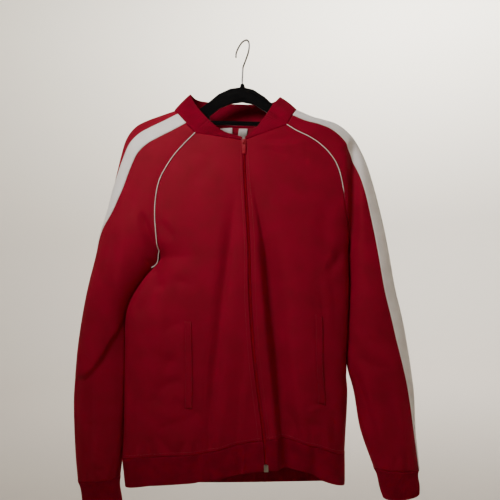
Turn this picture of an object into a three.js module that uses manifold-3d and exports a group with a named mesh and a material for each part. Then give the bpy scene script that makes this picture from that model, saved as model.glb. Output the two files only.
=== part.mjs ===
// A zip-front track jacket hanging on a slim hanger. Millimetres, +Z up, +X to the
// right as seen from the front, front towards -Y. The origin is the underside of the
// hook's crown, where a rail or nail carries the whole thing.
import * as THREE from 'three';
import { mergeVertices } from 'three/addons/utils/BufferGeometryUtils.js';
import Module from 'manifold-3d';

const wasm = await Module();
wasm.setup();

// Driving sizes
const clothWall = 1.6;
const ribWall = 2.4;
const seamGap = 0.35;
const raglanSteps = 12;
const lowerSteps = 12;
const sleeveFrontCells = 5;
const sleeveBackCells = 7;
const backCells = 16;
const sideMidY = -5;
const sideHalfGap = 0.55;
const armGap = 2.4;
const armMatchedSteps = 4;
const zipHalfGap = 3.3;
const tapeWidth = 30;
const tapeWall = 0.8;
const weltWall = 1.3;
const placketWidth = 9;
const hemRibHeight = 60;
const sideRoundness = 2.5;

const red = { color: 0x7a0a1a, roughness: 0.75, metalness: 0 };
const ribRed = { color: 0x6e0818, roughness: 0.85, metalness: 0 };
const white = { color: 0xe6dedb, roughness: 0.7, metalness: 0 };
const zipRed = { color: 0x5c0815, roughness: 0.5, metalness: 0 };
const velvet = { color: 0x0a0a0b, roughness: 0.95, metalness: 0 };
const chrome = { color: 0xc8c8c8, roughness: 0.2, metalness: 1 };
const paleMetal = { color: 0xb9b2a6, roughness: 0.35, metalness: 1 };

// Raglan sleeves: a section runs from the front seam (or inner edge) over the ridge to
// the back seam. turn is how far the seam lies round the section: 90 where the sleeve
// is an open arch, 0 from the underarm down, where it is a tube. tape is the distance
// from the ridge to the nearer edge of the tape, over the front.
const sleeveColumns = [
  'seamX', 'seamZ', 'backX', 'backZ', 'ridgeX', 'ridgeZ', 'mid', 'front', 'back', 'turn', 'tape',
];
const rightSleeveTable = {
  underarm: 8,
  rows: [
    [-103, -187, -106, -152, -149, -132, 0, 37, 28, 90, 30],
    [-126, -208, -124, -182, -181, -141, 0, 37, 28, 90, 34],
    [-146, -228, -142, -210, -209, -149.5, 0, 36, 28, 90, 35],
    [-165, -254, -160, -240, -232, -161, 0, 36, 28, 90, 33],
    [-179, -281, -175, -272, -251, -184, 0, 36, 28, 90, 28],
    [-187, -318, -184, -311, -264, -222, -1, 36, 28, 88, 21],
    [-189, -360, -187, -356, -279, -278, -2, 36, 28, 80, 10],
    [-187, -400, -187, -398, -294, -332, -4, 35, 28, 55, -3],
    [-189, -434, -189, -434, -308, -375, -5, 34, 28, 0, -18],
    [-219, -466, -219, -466, -321, -425, -6, 33, 28, 0, -31],
    [-249, -507, -249, -507, -338, -484, -6, 32, 27, 0, -41],
    [-263, -546, -263, -546, -350, -535, -6, 30, 26, 0, -45],
    [-266, -600, -266, -600, -361, -592, -6, 29, 26, 0, -47],
    [-268.5, -655, -268.5, -655, -369, -652, -6, 28, 26, 0, -48],
    [-271, -710, -271, -710, -375, -712, -6, 28, 26, 0, -48],
    [-274, -770, -274, -770, -375.5, -772, -6, 27, 25, 0, -48],
    [-279, -827, -279, -827, -374, -826, -6, 26, 25, 0, -47],
    [-285, -866, -285, -866, -371, -871, -6, 25, 24, 0, -46],
  ],
};
const leftSleeveTable = {
  underarm: 9,
  rows: [
    [78, -181, 80, -156, 99, -145.5, 0, 37, 27, 90, 8],
    [96, -193.5, 97, -174, 128, -160, 0, 37, 28, 90, 7],
    [118, -205.5, 116, -190, 153, -168.5, 0, 37, 28, 90, 5],
    [139, -220.5, 136, -208, 176, -177.5, 0, 36, 28, 90, 5],
    [158, -241, 154, -232, 196, -193.5, 0, 36, 28, 90, 6],
    [172, -266, 169, -260, 214, -217, 0, 36, 28, 90, 8],
    [180, -300, 178, -296, 230, -254, -1, 35, 28, 86, 9],
    [185, -345, 184, -343, 243, -302, -3, 34, 28, 68, 11],
    [191, -392, 191, -391, 256, -366, -4, 33, 28, 38, 12],
    [190, -440, 190, -440, 266, -430, -5, 33, 28, 0, 12],
    [189, -500, 189, -500, 275, -500, -8, 32, 28, 0, 11],
    [184, -560, 184, -560, 285, -560, -10, 31, 28, 0, 7],
    [180, -610, 180, -610, 292, -612, -10, 30, 28, 0, 3],
    [177, -655, 177, -655, 298, -662, -10, 30, 27, 0, -2],
    [188, -706, 188, -706, 302, -716, -10, 29, 27, 0, -8],
    [198, -779, 198, -779, 302, -783, -10, 28, 26, 0, -16],
    [220, -851, 220, -851, 306, -855, -10, 26, 25, 0, -20],
  ],
};

// Cuffs: where the rib tube ends, inner and outer edge
const rightCuff = { innerX: -283, innerZ: -939, outerX: -356, outerZ: -945, front: 21, back: 19, mid: -6 };
const leftCuff = { innerX: 237, innerZ: -911, outerX: 304, outerZ: -904, front: 21, back: 19, mid: -10 };

// Zip line from the collar to the hem's foot
const zipColumns = ['x', 'y', 'z'];
const zipTable = [
  [-7, -46, -208.5],
  [-7, -49, -287],
  [-4, -51, -403],
  [-5, -52, -500],
  [-4, -53, -562],
  [1, -54, -657],
  [12, -54, -783],
  [13.5, -54, -843],
];

// Side seams from the underarm to the hem seam. Down to the height armContact they lie
// against the sleeve instead.
const armContact = { right: -840, left: -650 };
const armContactFade = 30;
const sideColumns = ['x', 'z'];
const rightSideTable = [
  [-186, -437], [-213, -474], [-243, -513], [-257, -556], [-261.5, -610],
  [-264, -670], [-266.5, -730], [-269.5, -790], [-271, -826],
];
const leftSideTable = [
  [187, -443], [186, -502], [181, -560], [177, -608], [173.5, -655],
  [176, -700], [173, -745], [169, -785], [165.5, -822],
];

// Where the guide columns of each front run, as parts of the way from zip to edge
const guideColumns = ['z', 'foldA', 'foldB', 'between', 'weltIn', 'weltOut'];
const rightGuides = [
  [-208, 0.19, 0.31, 0.43, 0.55, 0.66],
  [-340, 0.12, 0.2, 0.33, 0.45, 0.53],
  [-459, 0.12, 0.21, 0.33, 0.44, 0.5],
  [-559, 0.11, 0.25, 0.35, 0.442, 0.497],
  [-665, 0.11, 0.3, 0.38, 0.453, 0.507],
  [-785, 0.2, 0.38, 0.44, 0.5, 0.55],
];
const leftGuides = [
  [-208, 0.2, 0.32, 0.44, 0.56, 0.67],
  [-340, 0.1, 0.16, 0.36, 0.53, 0.61],
  [-425, 0.11, 0.16, 0.38, 0.58, 0.66],
  [-526, 0.13, 0.175, 0.4, 0.64, 0.72],
  [-602, 0.16, 0.21, 0.42, 0.65, 0.73],
  [-720, 0.18, 0.225, 0.42, 0.64, 0.73],
  [-785, 0.17, 0.21, 0.42, 0.64, 0.73],
];

// Folds of each front: a line from top to bottom, pushed in (+) or out (-) by depth,
// with its own reach to either side
const foldColumns = ['topX', 'topZ', 'bottomX', 'bottomZ', 'depth', 'leftReach', 'rightReach'];
const rightFolds = [
  [-22, -286, -96, -783, 6, 16, 12],
  [-15, -600, -44, -800, 4, 26, 7],
  [-187, -430, -215, -520, 8, 18, 26],
  [-160, -610, -190, -700, 4, 24, 20],
];
const leftFolds = [
  [17, -345, 46, -800, 17, 6.5, 34],
  [95, -740, 112, -800, 7, 14, 20],
  [70, -560, 96, -740, -4, 24, 24],
];

// Collar: the free edge, against places along the neck seam (0 zip, 1 raglan seam,
// 2 ridge, 3 back raglan seam, and on to 8 at the zip again)
const collarColumns = ['place', 'x', 'y', 'z'];
const collarTable = [
  [0, -11, -45, -203],
  [0.5, -46, -39, -188],
  [1, -76, -33, -161],
  [1.5, -103, -17, -126],
  [2, -115.4, 0, -99.6],
  [2.5, -107, 20, -104],
  [3, -90, 37, -104.5],
  [3.5, -52, 43, -108.5],
  [4, -15, 44, -112],
  [4.5, 20, 42, -115],
  [5, 46, 31, -116.5],
  [5.5, 58, 16, -117.2],
  [6, 65, 0, -115.4],
  [6.5, 51, -13, -133],
  [7, 42, -20, -148],
  [7.5, 18, -34, -182.5],
  [8, -3, -44, -203],
];

// Hem seam and hem foot across the front
const hemSeamColumns = ['x', 'z'];
const hemSeamTable = [
  [-271, -828], [-213, -818], [-146, -813], [-104, -809], [-75, -803], [-45, -794],
  [-16, -788], [12, -785], [40, -783], [65, -788], [96, -798], [136, -811], [166, -824],
];
const hemFootTable = [
  [-268, -884], [-215, -874], [-100, -863], [-45, -851], [-6, -845], [19, -842],
  [57, -844], [91, -849], [116, -866], [162, -884],
];

// Hanger: the arm's top edge and its height there, turned by nothing, as it hangs
const hangerColumns = ['x', 'top', 'height'];
const hangerTable = [
  [-228, -165.6, 17], [-205, -152.3, 20], [-180, -144.4, 22], [-150, -138, 24], [-120, -134.5, 25],
  [-99, -131, 26], [-78, -117, 28], [-58, -102, 29], [-34, -92.5, 30], [-10, -90.5, 30.5],
  [13, -97, 30], [35, -113, 29], [52, -130, 28], [75, -147, 26], [104, -152, 25],
  [130, -163.5, 23], [155, -172, 21], [177, -181.8, 19], [193, -195, 17],
];
const hangerThick = 5.6;
const barHeight = 8;
const barLine = { leftX: -140, leftTop: -150.5, rightX: 120, rightTop: -170.5 };

// Hook: the wire's centre line across the picture, swivelled about the stem
const hookWire = 3;
const hookTurnDegrees = 43;
const hookColumns = ['x', 'z'];
const hookTable = [
  [-21, -23.7], [-20.4, -16.8], [-17, -10], [-11.6, -3.4], [-5.9, 0.7], [0, 1.5],
  [4.4, 0.2], [7.2, -3.4], [8.6, -9], [8.3, -17], [6, -26.5], [2.4, -34], [-3.1, -44.6],
  [-6, -50], [-7.3, -58.7], [-8.3, -69.5], [-9.2, -80.5],
];

// Small pieces
const slider = { halfWidth: 4, top: -207, length: 12, plate: 1.4, coreHalfWidth: 2.2, core: 3.5 };
const tab = { halfWidth: 3.4, length: 24, thick: 1.2, windowHalf: 1.7, windowLength: 4.8, bar: 1.2 };
const bridge = { halfWidth: 1, reach: 3.8, leg: 1.4, space: 3.4 };
const retainer = { halfWidth: 4, top: -830.5, bottom: -843.5, plate: 1.4 };
const chainTop = -213;
const chainFoot = -829;
const label = { leftX: -61, rightX: -36, top: -163.5, bottom: -184, wall: 0.7 };
const careTag = { leftX: -22, rightX: -4, top: -165.5, bottom: -187, wall: 0.7, lean: 1.2 };

const scene = new THREE.Group();

function addMesh(name, geometry, look, group = scene) {
  const mesh = new THREE.Mesh(geometry, new THREE.MeshStandardMaterial(look));
  mesh.name = name;
  group.add(mesh);
  return mesh;
}

// A smooth value at place t between the rows of a table column
function splineAt(values, t) {
  const last = values.length - 1;
  const i = Math.min(Math.max(Math.floor(t), 0), last - 1);
  const f = t - i;
  const before = values[Math.max(i - 1, 0)];
  const after = values[Math.min(i + 2, last)];
  const slopeIn = (values[i + 1] - before) / (i > 0 ? 2 : 1);
  const slopeOut = (after - values[i]) / (i + 2 <= last ? 2 : 1);
  const f2 = f * f;
  const f3 = f2 * f;
  return values[i] * (2 * f3 - 3 * f2 + 1) + slopeIn * (f3 - 2 * f2 + f)
    + values[i + 1] * (3 * f2 - 2 * f3) + slopeOut * (f3 - f2);
}

function rowAt(columns, table, t) {
  const row = {};
  columns.forEach((name, k) => {
    row[name] = splineAt(table.map((line) => line[k]), t);
  });
  return row;
}

// The table's place where its key column has the given value, rising or falling
function placeOf(columns, table, key, value) {
  const k = columns.indexOf(key);
  const rising = table[table.length - 1][k] > table[0][k];
  for (let i = 0; i < table.length - 1; i += 1) {
    const from = table[i][k];
    const to = table[i + 1][k];
    const inside = rising ? value <= to : value >= to;
    if (inside || i === table.length - 2) {
      return i + Math.min(Math.max((value - from) / (to - from), 0), 1);
    }
  }
  return 0;
}

function lookUp(columns, table, key, value) {
  return rowAt(columns, table, placeOf(columns, table, key, value));
}

const mix = THREE.MathUtils.lerp;
const smooth = (v) => THREE.MathUtils.smoothstep(v, 0, 1);

// Normals of a grid of points, on the side given by sign. rowFrom is the row from
// which the first and last columns are one and the same, or null for an open sheet.
function gridNormals(grid, sign, rowFrom = null) {
  const rows = grid.length;
  const cols = grid[0].length;
  const normals = grid.map((row) => row.map(() => new THREE.Vector3()));
  for (let r = 0; r < rows - 1; r += 1) {
    for (let c = 0; c < cols - 1; c += 1) {
      const across = grid[r + 1][c + 1].clone().sub(grid[r][c]);
      const other = grid[r + 1][c].clone().sub(grid[r][c + 1]);
      const face = across.cross(other).normalize().multiplyScalar(sign);
      normals[r][c].add(face);
      normals[r + 1][c].add(face);
      normals[r][c + 1].add(face);
      normals[r + 1][c + 1].add(face);
    }
  }
  if (rowFrom !== null) {
    for (let r = rowFrom; r < rows; r += 1) {
      const sum = normals[r][0].clone().add(normals[r][cols - 1]);
      normals[r][0].copy(sum);
      normals[r][cols - 1].copy(sum);
    }
  }
  normals.forEach((row) => row.forEach((n) => n.normalize()));
  return normals;
}

function movedGrid(grid, sign, distance, rowFrom = null) {
  const normals = gridNormals(grid, sign, rowFrom);
  return grid.map((row, r) => row.map((p, c) => p.clone().addScaledVector(normals[r][c], distance)));
}

// A closed wall from a grid of points at its middle
function wall(grid, thickness, sign, rowFrom = null) {
  const rows = grid.length;
  const cols = grid[0].length;
  const outer = movedGrid(grid, sign, thickness / 2, rowFrom);
  const inner = movedGrid(grid, sign, -thickness / 2, rowFrom);
  const points = [];
  const index = [[], []];
  [outer, inner].forEach((side, s) => {
    for (let r = 0; r < rows; r += 1) {
      index[s].push([]);
      for (let c = 0; c < cols; c += 1) {
        const sewn = rowFrom !== null && r >= rowFrom && c === cols - 1;
        if (sewn) {
          index[s][r].push(index[s][r][0]);
        } else {
          index[s][r].push(points.length / 3);
          points.push(side[r][c].x, side[r][c].y, side[r][c].z);
        }
      }
    }
  });
  const faces = [];
  const quad = (a, b, c, d) => faces.push(a, b, c, a, c, d);
  const [o, i] = index;
  for (let r = 0; r < rows - 1; r += 1) {
    for (let c = 0; c < cols - 1; c += 1) {
      quad(o[r][c], o[r + 1][c], o[r + 1][c + 1], o[r][c + 1]);
      quad(i[r][c], i[r][c + 1], i[r + 1][c + 1], i[r + 1][c]);
    }
    if (rowFrom === null || r < rowFrom) {
      quad(o[r][0], i[r][0], i[r + 1][0], o[r + 1][0]);
      quad(o[r][cols - 1], o[r + 1][cols - 1], i[r + 1][cols - 1], i[r][cols - 1]);
    }
  }
  for (let c = 0; c < cols - 1; c += 1) {
    quad(o[0][c], o[0][c + 1], i[0][c + 1], i[0][c]);
    quad(o[rows - 1][c], i[rows - 1][c], i[rows - 1][c + 1], o[rows - 1][c + 1]);
  }
  return closedGeometry(points, faces);
}

// Turns all faces over where they point inwards
function closedGeometry(points, faces) {
  let volume = 0;
  for (let k = 0; k < faces.length; k += 3) {
    const [a, b, c] = [0, 1, 2].map((j) => new THREE.Vector3().fromArray(points, faces[k + j] * 3));
    volume += a.dot(b.cross(c));
  }
  if (volume < 0) {
    for (let k = 0; k < faces.length; k += 3) {
      [faces[k + 1], faces[k + 2]] = [faces[k + 2], faces[k + 1]];
    }
  }
  const geometry = new THREE.BufferGeometry();
  geometry.setAttribute('position', new THREE.Float32BufferAttribute(points, 3));
  geometry.setIndex(faces);
  return geometry;
}

function toSolid(geometry) {
  const bare = geometry.clone();
  bare.deleteAttribute('normal');
  bare.deleteAttribute('uv');
  const merged = mergeVertices(bare, 1e-4);
  const mesh = new wasm.Mesh({
    numProp: 3,
    vertProperties: new Float32Array(merged.attributes.position.array),
    triVerts: new Uint32Array(merged.index.array),
  });
  return new wasm.Manifold(mesh);
}

function fromSolid(solid) {
  const mesh = solid.getMesh();
  const geometry = new THREE.BufferGeometry();
  geometry.setAttribute('position', new THREE.Float32BufferAttribute(mesh.vertProperties, 3));
  geometry.setIndex(Array.from(mesh.triVerts));
  return geometry;
}

function box(x0, x1, y0, y1, z0, z1) {
  const geometry = new THREE.BoxGeometry(x1 - x0, y1 - y0, z1 - z0);
  geometry.translate((x0 + x1) / 2, (y0 + y1) / 2, (z0 + z1) / 2);
  return geometry;
}

function joined(...geometries) {
  return geometries.map(toSolid).reduce((a, b) => a.add(b));
}

// A point of a sleeve's section, at angle phi from the front seam round to the back
function sleevePoint(row, phi) {
  const turn = THREE.MathUtils.degToRad(row.turn);
  const front = phi <= Math.PI;
  const fromX = front ? row.seamX : row.backX;
  const fromZ = front ? row.seamZ : row.backZ;
  const away = (1 + Math.cos(phi)) / (1 + Math.cos(turn));
  const depth = front ? row.front : row.back;
  return new THREE.Vector3(
    mix(row.ridgeX, fromX, away),
    row.mid - depth * Math.sin(phi),
    mix(row.ridgeZ, fromZ, away),
  );
}

// One row of sleeve points, spaced by length along the section, with the tape's two
// edges and the ridge as columns of their own
function sleeveRow(row, fold) {
  const samples = 96;
  const turn = THREE.MathUtils.degToRad(row.turn);
  const points = [];
  for (let k = 0; k <= samples; k += 1) {
    points.push(fold(sleevePoint(row, mix(turn, 2 * Math.PI - turn, k / samples))));
  }
  const lengths = [0];
  for (let k = 1; k <= samples; k += 1) {
    lengths.push(lengths[k - 1] + points[k].distanceTo(points[k - 1]));
  }
  const total = lengths[samples];
  const at = (length) => {
    let k = 1;
    while (k < samples && lengths[k] < length) k += 1;
    const part = (length - lengths[k - 1]) / (lengths[k] - lengths[k - 1]);
    return points[k - 1].clone().lerp(points[k], part);
  };
  const ridge = lengths[samples / 2];
  const tapeIn = ridge - row.tape - tapeWidth;
  const tapeOut = ridge - row.tape;
  const crest = Math.max(ridge, tapeOut + 4);
  const places = [];
  for (let k = 0; k < sleeveFrontCells; k += 1) places.push((tapeIn * k) / sleeveFrontCells);
  places.push(tapeIn, (tapeIn + tapeOut) / 2, tapeOut);
  for (let k = 0; k < sleeveBackCells; k += 1) places.push(mix(crest, total, k / sleeveBackCells));
  places.push(total);
  return places.map(at);
}
const tapeColumn = sleeveFrontCells;
const crestColumn = sleeveFrontCells + 3;

// The step in the right sleeve where the upper arm hangs over the forearm, and the
// valley down the left sleeve beside its seam
const stepDepth = 9;
const stepRange = { from: -6, full: 14, fadeFrom: 60, fadeTo: 240, frontY: -6, reach: 18 };
const stepColumns = ['x', 'z'];
const stepTable = [[-347, -662], [-316, -633], [-277, -575.5], [-262, -540], [-248, -507.5]];
function rightSleeveFold(p) {
  if (p.y > stepRange.frontY) return p;
  const stepZ = lookUp(stepColumns, stepTable, 'x', p.x).z;
  const { from, full, fadeFrom, fadeTo, frontY } = stepRange;
  const below = THREE.MathUtils.smoothstep(stepZ - p.z, from, full);
  const fade = 1 - THREE.MathUtils.smoothstep(stepZ - p.z, fadeFrom, fadeTo);
  const reach = THREE.MathUtils.smoothstep(frontY - p.y, 0, stepRange.reach);
  return new THREE.Vector3(p.x, p.y + stepDepth * below * fade * reach, p.z);
}

const valley = {
  frontY: -4, top: -205, topFade: 40, bottom: -440, bottomFade: 70,
  topX: 203, bottomX: 197, turnZ: -216, depth: 13, inner: 9, outer: 12,
};
function leftSleeveFold(p) {
  const { top, bottom, topX, bottomX, turnZ } = valley;
  if (p.y > valley.frontY || p.z < bottom) return p;
  const side = p.x - mix(topX, bottomX, smooth((turnZ - p.z) / (turnZ - bottom)));
  const hollow = Math.exp(-((side / (side < 0 ? valley.inner : valley.outer)) ** 2));
  const strength = smooth((top - p.z) / valley.topFade) * smooth((p.z - bottom) / valley.bottomFade);
  return new THREE.Vector3(p.x, p.y + valley.depth * hollow * strength, p.z);
}

function sleeveGrid(table, fold) {
  const last = table.rows.length - 1;
  const places = [];
  for (let k = 0; k < raglanSteps; k += 1) places.push((table.underarm * k) / raglanSteps);
  for (let k = 0; k <= lowerSteps; k += 1) places.push(mix(table.underarm, last, k / lowerSteps));
  return places.map((t) => {
    const row = rowAt(sleeveColumns, table.rows, t);
    if (t >= table.underarm) row.turn = 0;
    row.turn = Math.min(row.turn, 90);
    return sleeveRow(row, fold);
  });
}

const rightSleeve = sleeveGrid(rightSleeveTable, rightSleeveFold);
const leftSleeve = sleeveGrid(leftSleeveTable, leftSleeveFold);

// How far round the seam lies at a raglan row, as a cosine: 0 open arch, 1 underarm
function seamTurn(table, step) {
  const t = (table.underarm * step) / raglanSteps;
  const turn = step === raglanSteps ? 0 : Math.min(rowAt(sleeveColumns, table.rows, t).turn, 90);
  return Math.cos(THREE.MathUtils.degToRad(turn));
}

// Where the side seam passes a height, at armGap from the sleeve's inner edge
function besideSleeve(inner, z, inward) {
  const last = inner.length - 2;
  let r = 0;
  while (r < last && inner[r + 1].z > z) r += 1;
  const [a, b] = [inner[r], inner[r + 1]];
  const slope = (b.x - a.x) / (a.z - b.z);
  return mix(a.x, b.x, (a.z - z) / (a.z - b.z)) + inward * armGap * Math.hypot(1, slope);
}

// Edge points of a body panel: along the sleeve's seam with a gap, then down the side,
// against the sleeve as far as the arm touches it
function panelEdge(sleeve, table, side, inward, front) {
  const column = front ? 0 : sleeve[0].length - 1;
  const next = front ? 1 : column - 1;
  const edge = [];
  for (let step = 0; step <= raglanSteps; step += 1) {
    const p = sleeve[step][column];
    const turned = seamTurn(table, step);
    const away = p.clone().sub(sleeve[step][next]).normalize();
    const flat = new THREE.Vector3(inward, 0, -0.15).normalize();
    const direction = away.lerp(flat, turned).normalize();
    edge.push({
      point: p.clone().addScaledVector(direction, seamGap + (clothWall + 0.5) * turned),
      turned,
    });
  }
  edge[raglanSteps].point.y = sideMidY + (front ? -sideHalfGap : sideHalfGap);
  const inner = sleeve.slice(raglanSteps).map((row) => row[0]);
  const contact = inward > 0 ? armContact.right : armContact.left;
  const bottom = side[side.length - 1][1];
  const matchedZ = inner[armMatchedSteps].z;
  for (let step = 1; step <= lowerSteps; step += 1) {
    const below = (step - armMatchedSteps) / (lowerSteps - armMatchedSteps);
    const z = step <= armMatchedSteps ? inner[step].z : mix(matchedZ, bottom, below);
    const free = lookUp(sideColumns, side, 'z', z).x;
    const x = mix(besideSleeve(inner, z, inward), free, smooth((contact - z) / armContactFade));
    const y = sideMidY + (front ? -sideHalfGap : sideHalfGap);
    edge.push({ point: new THREE.Vector3(x, y, z), turned: 1 });
  }
  return edge;
}

// How far the cloth comes forward between the zip (0) and the edge (1)
function bulge(s, turned) {
  const flat = 1 - s * s;
  const round = (1 - s ** sideRoundness) ** (1 / sideRoundness);
  return mix(flat, round, turned);
}

function foldPush(folds, x, z) {
  let push = 0;
  for (const line of folds) {
    const fold = Object.fromEntries(foldColumns.map((name, k) => [name, line[k]]));
    const along = (fold.topZ - z) / (fold.topZ - fold.bottomZ);
    const lineX = mix(fold.topX, fold.bottomX, along);
    const side = x - lineX;
    const near = Math.exp(-((side / (side < 0 ? fold.leftReach : fold.rightReach)) ** 2));
    const ends = smooth(along / 0.35) * (along > 1 ? smooth(1 - (along - 1) / 0.4) : 1);
    push += fold.depth * near * ends;
  }
  return push;
}

const bodyRows = raglanSteps + lowerSteps + 1;
const zipEnd = { raglan: -425, hem: -785 };

function zipZ(row) {
  if (row <= raglanSteps) return mix(zipTable[0][2], zipEnd.raglan, row / raglanSteps);
  return mix(zipEnd.raglan, zipEnd.hem, (row - raglanSteps) / lowerSteps);
}

// Columns from the welt to the side, closer together towards the edge
const sideParts = [0.3, 0.58, 0.8, 0.94, 1];

function frontGrid(edge, guides, folds, inward) {
  const grid = [];
  for (let r = 0; r < bodyRows; r += 1) {
    const zip = lookUp(zipColumns, zipTable, 'z', zipZ(r));
    const start = new THREE.Vector3(zip.x + inward * zipHalfGap, zip.y, zipZ(r));
    const end = edge[r].point;
    const width = Math.abs(end.x - start.x);
    const guide = lookUp(guideColumns, guides, 'z', zipZ(r));
    const { foldA, foldB, between, weltIn, weltOut } = guide;
    const parts = [0, placketWidth / width, foldA, foldB, between, weltIn, weltOut];
    for (const part of sideParts) parts.push(mix(weltOut, 1, part));
    grid.push(parts.map((s) => {
      const x = mix(start.x, end.x, s);
      const down = r / (bodyRows - 1);
      const seam = lookUp(hemSeamColumns, hemSeamTable, 'x', x).z;
      const straight = mix(start.z, end.z, s);
      const bottom = mix(zipEnd.hem, edge[bodyRows - 1].point.z, s);
      const z = s === 1 ? end.z : straight + (seam - bottom) * down * down * (1 - s ** 8);
      const forward = bulge(s, edge[r].turned);
      const push = foldPush(folds, x, z) * (1 - s ** 6);
      return new THREE.Vector3(x, mix(end.y, start.y, forward) + push, z);
    }));
  }
  return grid;
}

const rightEdge = panelEdge(rightSleeve, rightSleeveTable, rightSideTable, 1, true);
const leftEdge = panelEdge(leftSleeve, leftSleeveTable, leftSideTable, -1, true);
const frontRight = frontGrid(rightEdge, rightGuides, rightFolds, -1);
const frontLeft = frontGrid(leftEdge, leftGuides, leftFolds, 1);

// Back: from the right sleeve's back seam to the left one's
const backDepth = { neck: 37, chest: 31, hem: 27 };
const neckDrop = 10;
function backGrid() {
  const from = panelEdge(rightSleeve, rightSleeveTable, rightSideTable, 1, false);
  const to = panelEdge(leftSleeve, leftSleeveTable, leftSideTable, -1, false);
  const grid = [];
  for (let r = 0; r < bodyRows; r += 1) {
    const a = from[r].point;
    const b = to[r].point;
    const turned = (from[r].turned + to[r].turned) / 2;
    const down = r / (bodyRows - 1);
    const deep = r < raglanSteps
      ? mix(backDepth.neck, backDepth.chest, smooth(r / raglanSteps))
      : mix(backDepth.chest, backDepth.hem, (r - raglanSteps) / lowerSteps);
    const line = [];
    for (let c = 0; c <= backCells; c += 1) {
      const even = c / backCells;
      const s = mix(even, 0.5 - 0.5 * Math.cos(Math.PI * even), 0.75);
      const out = Math.abs(2 * s - 1);
      const edgeY = mix(a.y, b.y, s);
      const drop = neckDrop * (1 - out * out) * Math.max(0, 1 - down * 3) ** 2;
      const sag = 8 * Math.sin(Math.PI * s) * down * down;
      const y = mix(edgeY, deep, bulge(out, turned));
      line.push(new THREE.Vector3(mix(a.x, b.x, s), y, mix(a.z, b.z, s) - drop - sag));
    }
    grid.push(line);
  }
  return grid;
}
const back = backGrid();

addMesh('front_right', wall(frontRight, clothWall, 1), red);
addMesh('front_left', wall(frontLeft, clothWall, -1), red);
addMesh('back', wall(back, clothWall, 1), red);
addMesh('sleeve_right', wall(rightSleeve, clothWall, 1, raglanSteps), red);
addMesh('sleeve_left', wall(leftSleeve, clothWall, -1, raglanSteps), red);

// Moves a row of edge points on, away from the row next to it
function stepped(row, next, distance) {
  return row.map((p, k) => p.clone().addScaledVector(p.clone().sub(next[k]).normalize(), distance));
}

// The collar's rows, as parts of its height, and how far its wall stands clear of the seam
const collarRows = [0, 0.35, 0.7, 1];
const collarClear = 1.5;

function collarGrid() {
  const seam = [];
  const collect = (points, nexts, from, to) => {
    points.forEach((p, k) => {
      seam.push({ p, next: nexts[k], place: mix(from, to, k / (points.length - 1)) });
    });
  };
  const half = crestColumn;
  const rightTop = rightSleeve[0];
  const leftTop = leftSleeve[0];
  collect(frontRight[0], frontRight[1], 0, 1);
  collect(rightTop.slice(1, half + 1), rightSleeve[1].slice(1, half + 1), 1.1, 2);
  collect(rightTop.slice(half + 1, -1), rightSleeve[1].slice(half + 1, -1), 2.15, 2.9);
  collect(back[0], back[1], 3, 5);
  collect(leftTop.slice(half + 1, -1).reverse(), leftSleeve[1].slice(half + 1, -1).reverse(), 5.1, 5.85);
  collect(leftTop.slice(1, half + 1).reverse(), leftSleeve[1].slice(1, half + 1).reverse(), 6, 6.9);
  collect([...frontLeft[0]].reverse(), [...frontLeft[1]].reverse(), 7, 8);
  const low = [];
  const high = [];
  for (const { p, place } of seam) {
    const edge = lookUp(collarColumns, collarTable, 'place', place);
    const top = new THREE.Vector3(edge.x, edge.y, edge.z);
    if (place === 0) top.x = p.x;
    if (place === 8) top.x = p.x;
    const direction = top.clone().sub(p).normalize();
    low.push(p.clone().addScaledVector(direction, seamGap + collarClear));
    high.push(top);
  }
  const grid = [];
  for (const part of collarRows) {
    grid.push(low.map((p, k) => p.clone().lerp(high[k], part)));
  }
  return grid;
}
const collar = collarGrid();
addMesh('collar', wall(collar, ribWall, -1), ribRed);

// Hem band: the panels' lower edges all round, down to the foot
const hemFoot = { narrowing: 0.985, flattening: 0.96, backZ: -884, backSag: 10, clear: 0.2 };

function hemGrid() {
  const last = bodyRows - 1;
  const ring = [
    ...[...frontRight[last]],
    ...back[last].slice(1, -1),
    ...[...frontLeft[last]].reverse(),
  ];
  const centreX = (ring[0].x + ring[ring.length - 1].x) / 2;
  const backFrom = frontRight[last].length - 1;
  const backTo = backFrom + backCells;
  const top = ring.map((p) => p.clone().add(new THREE.Vector3(0, 0, -seamGap - hemFoot.clear)));
  const foot = ring.map((p, k) => {
    const inBack = k > backFrom && k < backTo;
    const isEnd = k === 0 || k === ring.length - 1;
    const x = isEnd ? p.x : centreX + (p.x - centreX) * hemFoot.narrowing;
    const frontZ = lookUp(hemSeamColumns, hemFootTable, 'x', x).z;
    const across = (k - backFrom) / backCells;
    const round = Math.sin(Math.PI * THREE.MathUtils.clamp(across, 0, 1));
    const backZ = hemFoot.backZ - hemFoot.backSag * round;
    return new THREE.Vector3(x, p.y * hemFoot.flattening, inBack ? backZ : frontZ);
  });
  const rows = [0, 0.5, 1].map((part) => top.map((p, k) => p.clone().lerp(foot[k], part)));
  for (const row of rows) {
    const [first, end] = [row[0], row[row.length - 1]];
    first.x = lookUp(zipColumns, zipTable, 'z', first.z).x - zipHalfGap;
    end.x = lookUp(zipColumns, zipTable, 'z', end.z).x + zipHalfGap;
  }
  return rows;
}
const hem = hemGrid();
addMesh('hem_band', wall(hem, ribWall, -1), ribRed);

// Cuffs: rib tubes that draw the sleeve ends in
const cuffShape = {
  clear: 0.6, neckPart: 0.25, lowPart: 0.65, drawIn: 3, flatten: 0.08,
  sleeveFront: 25, sleeveBack: 24,
};

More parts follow.
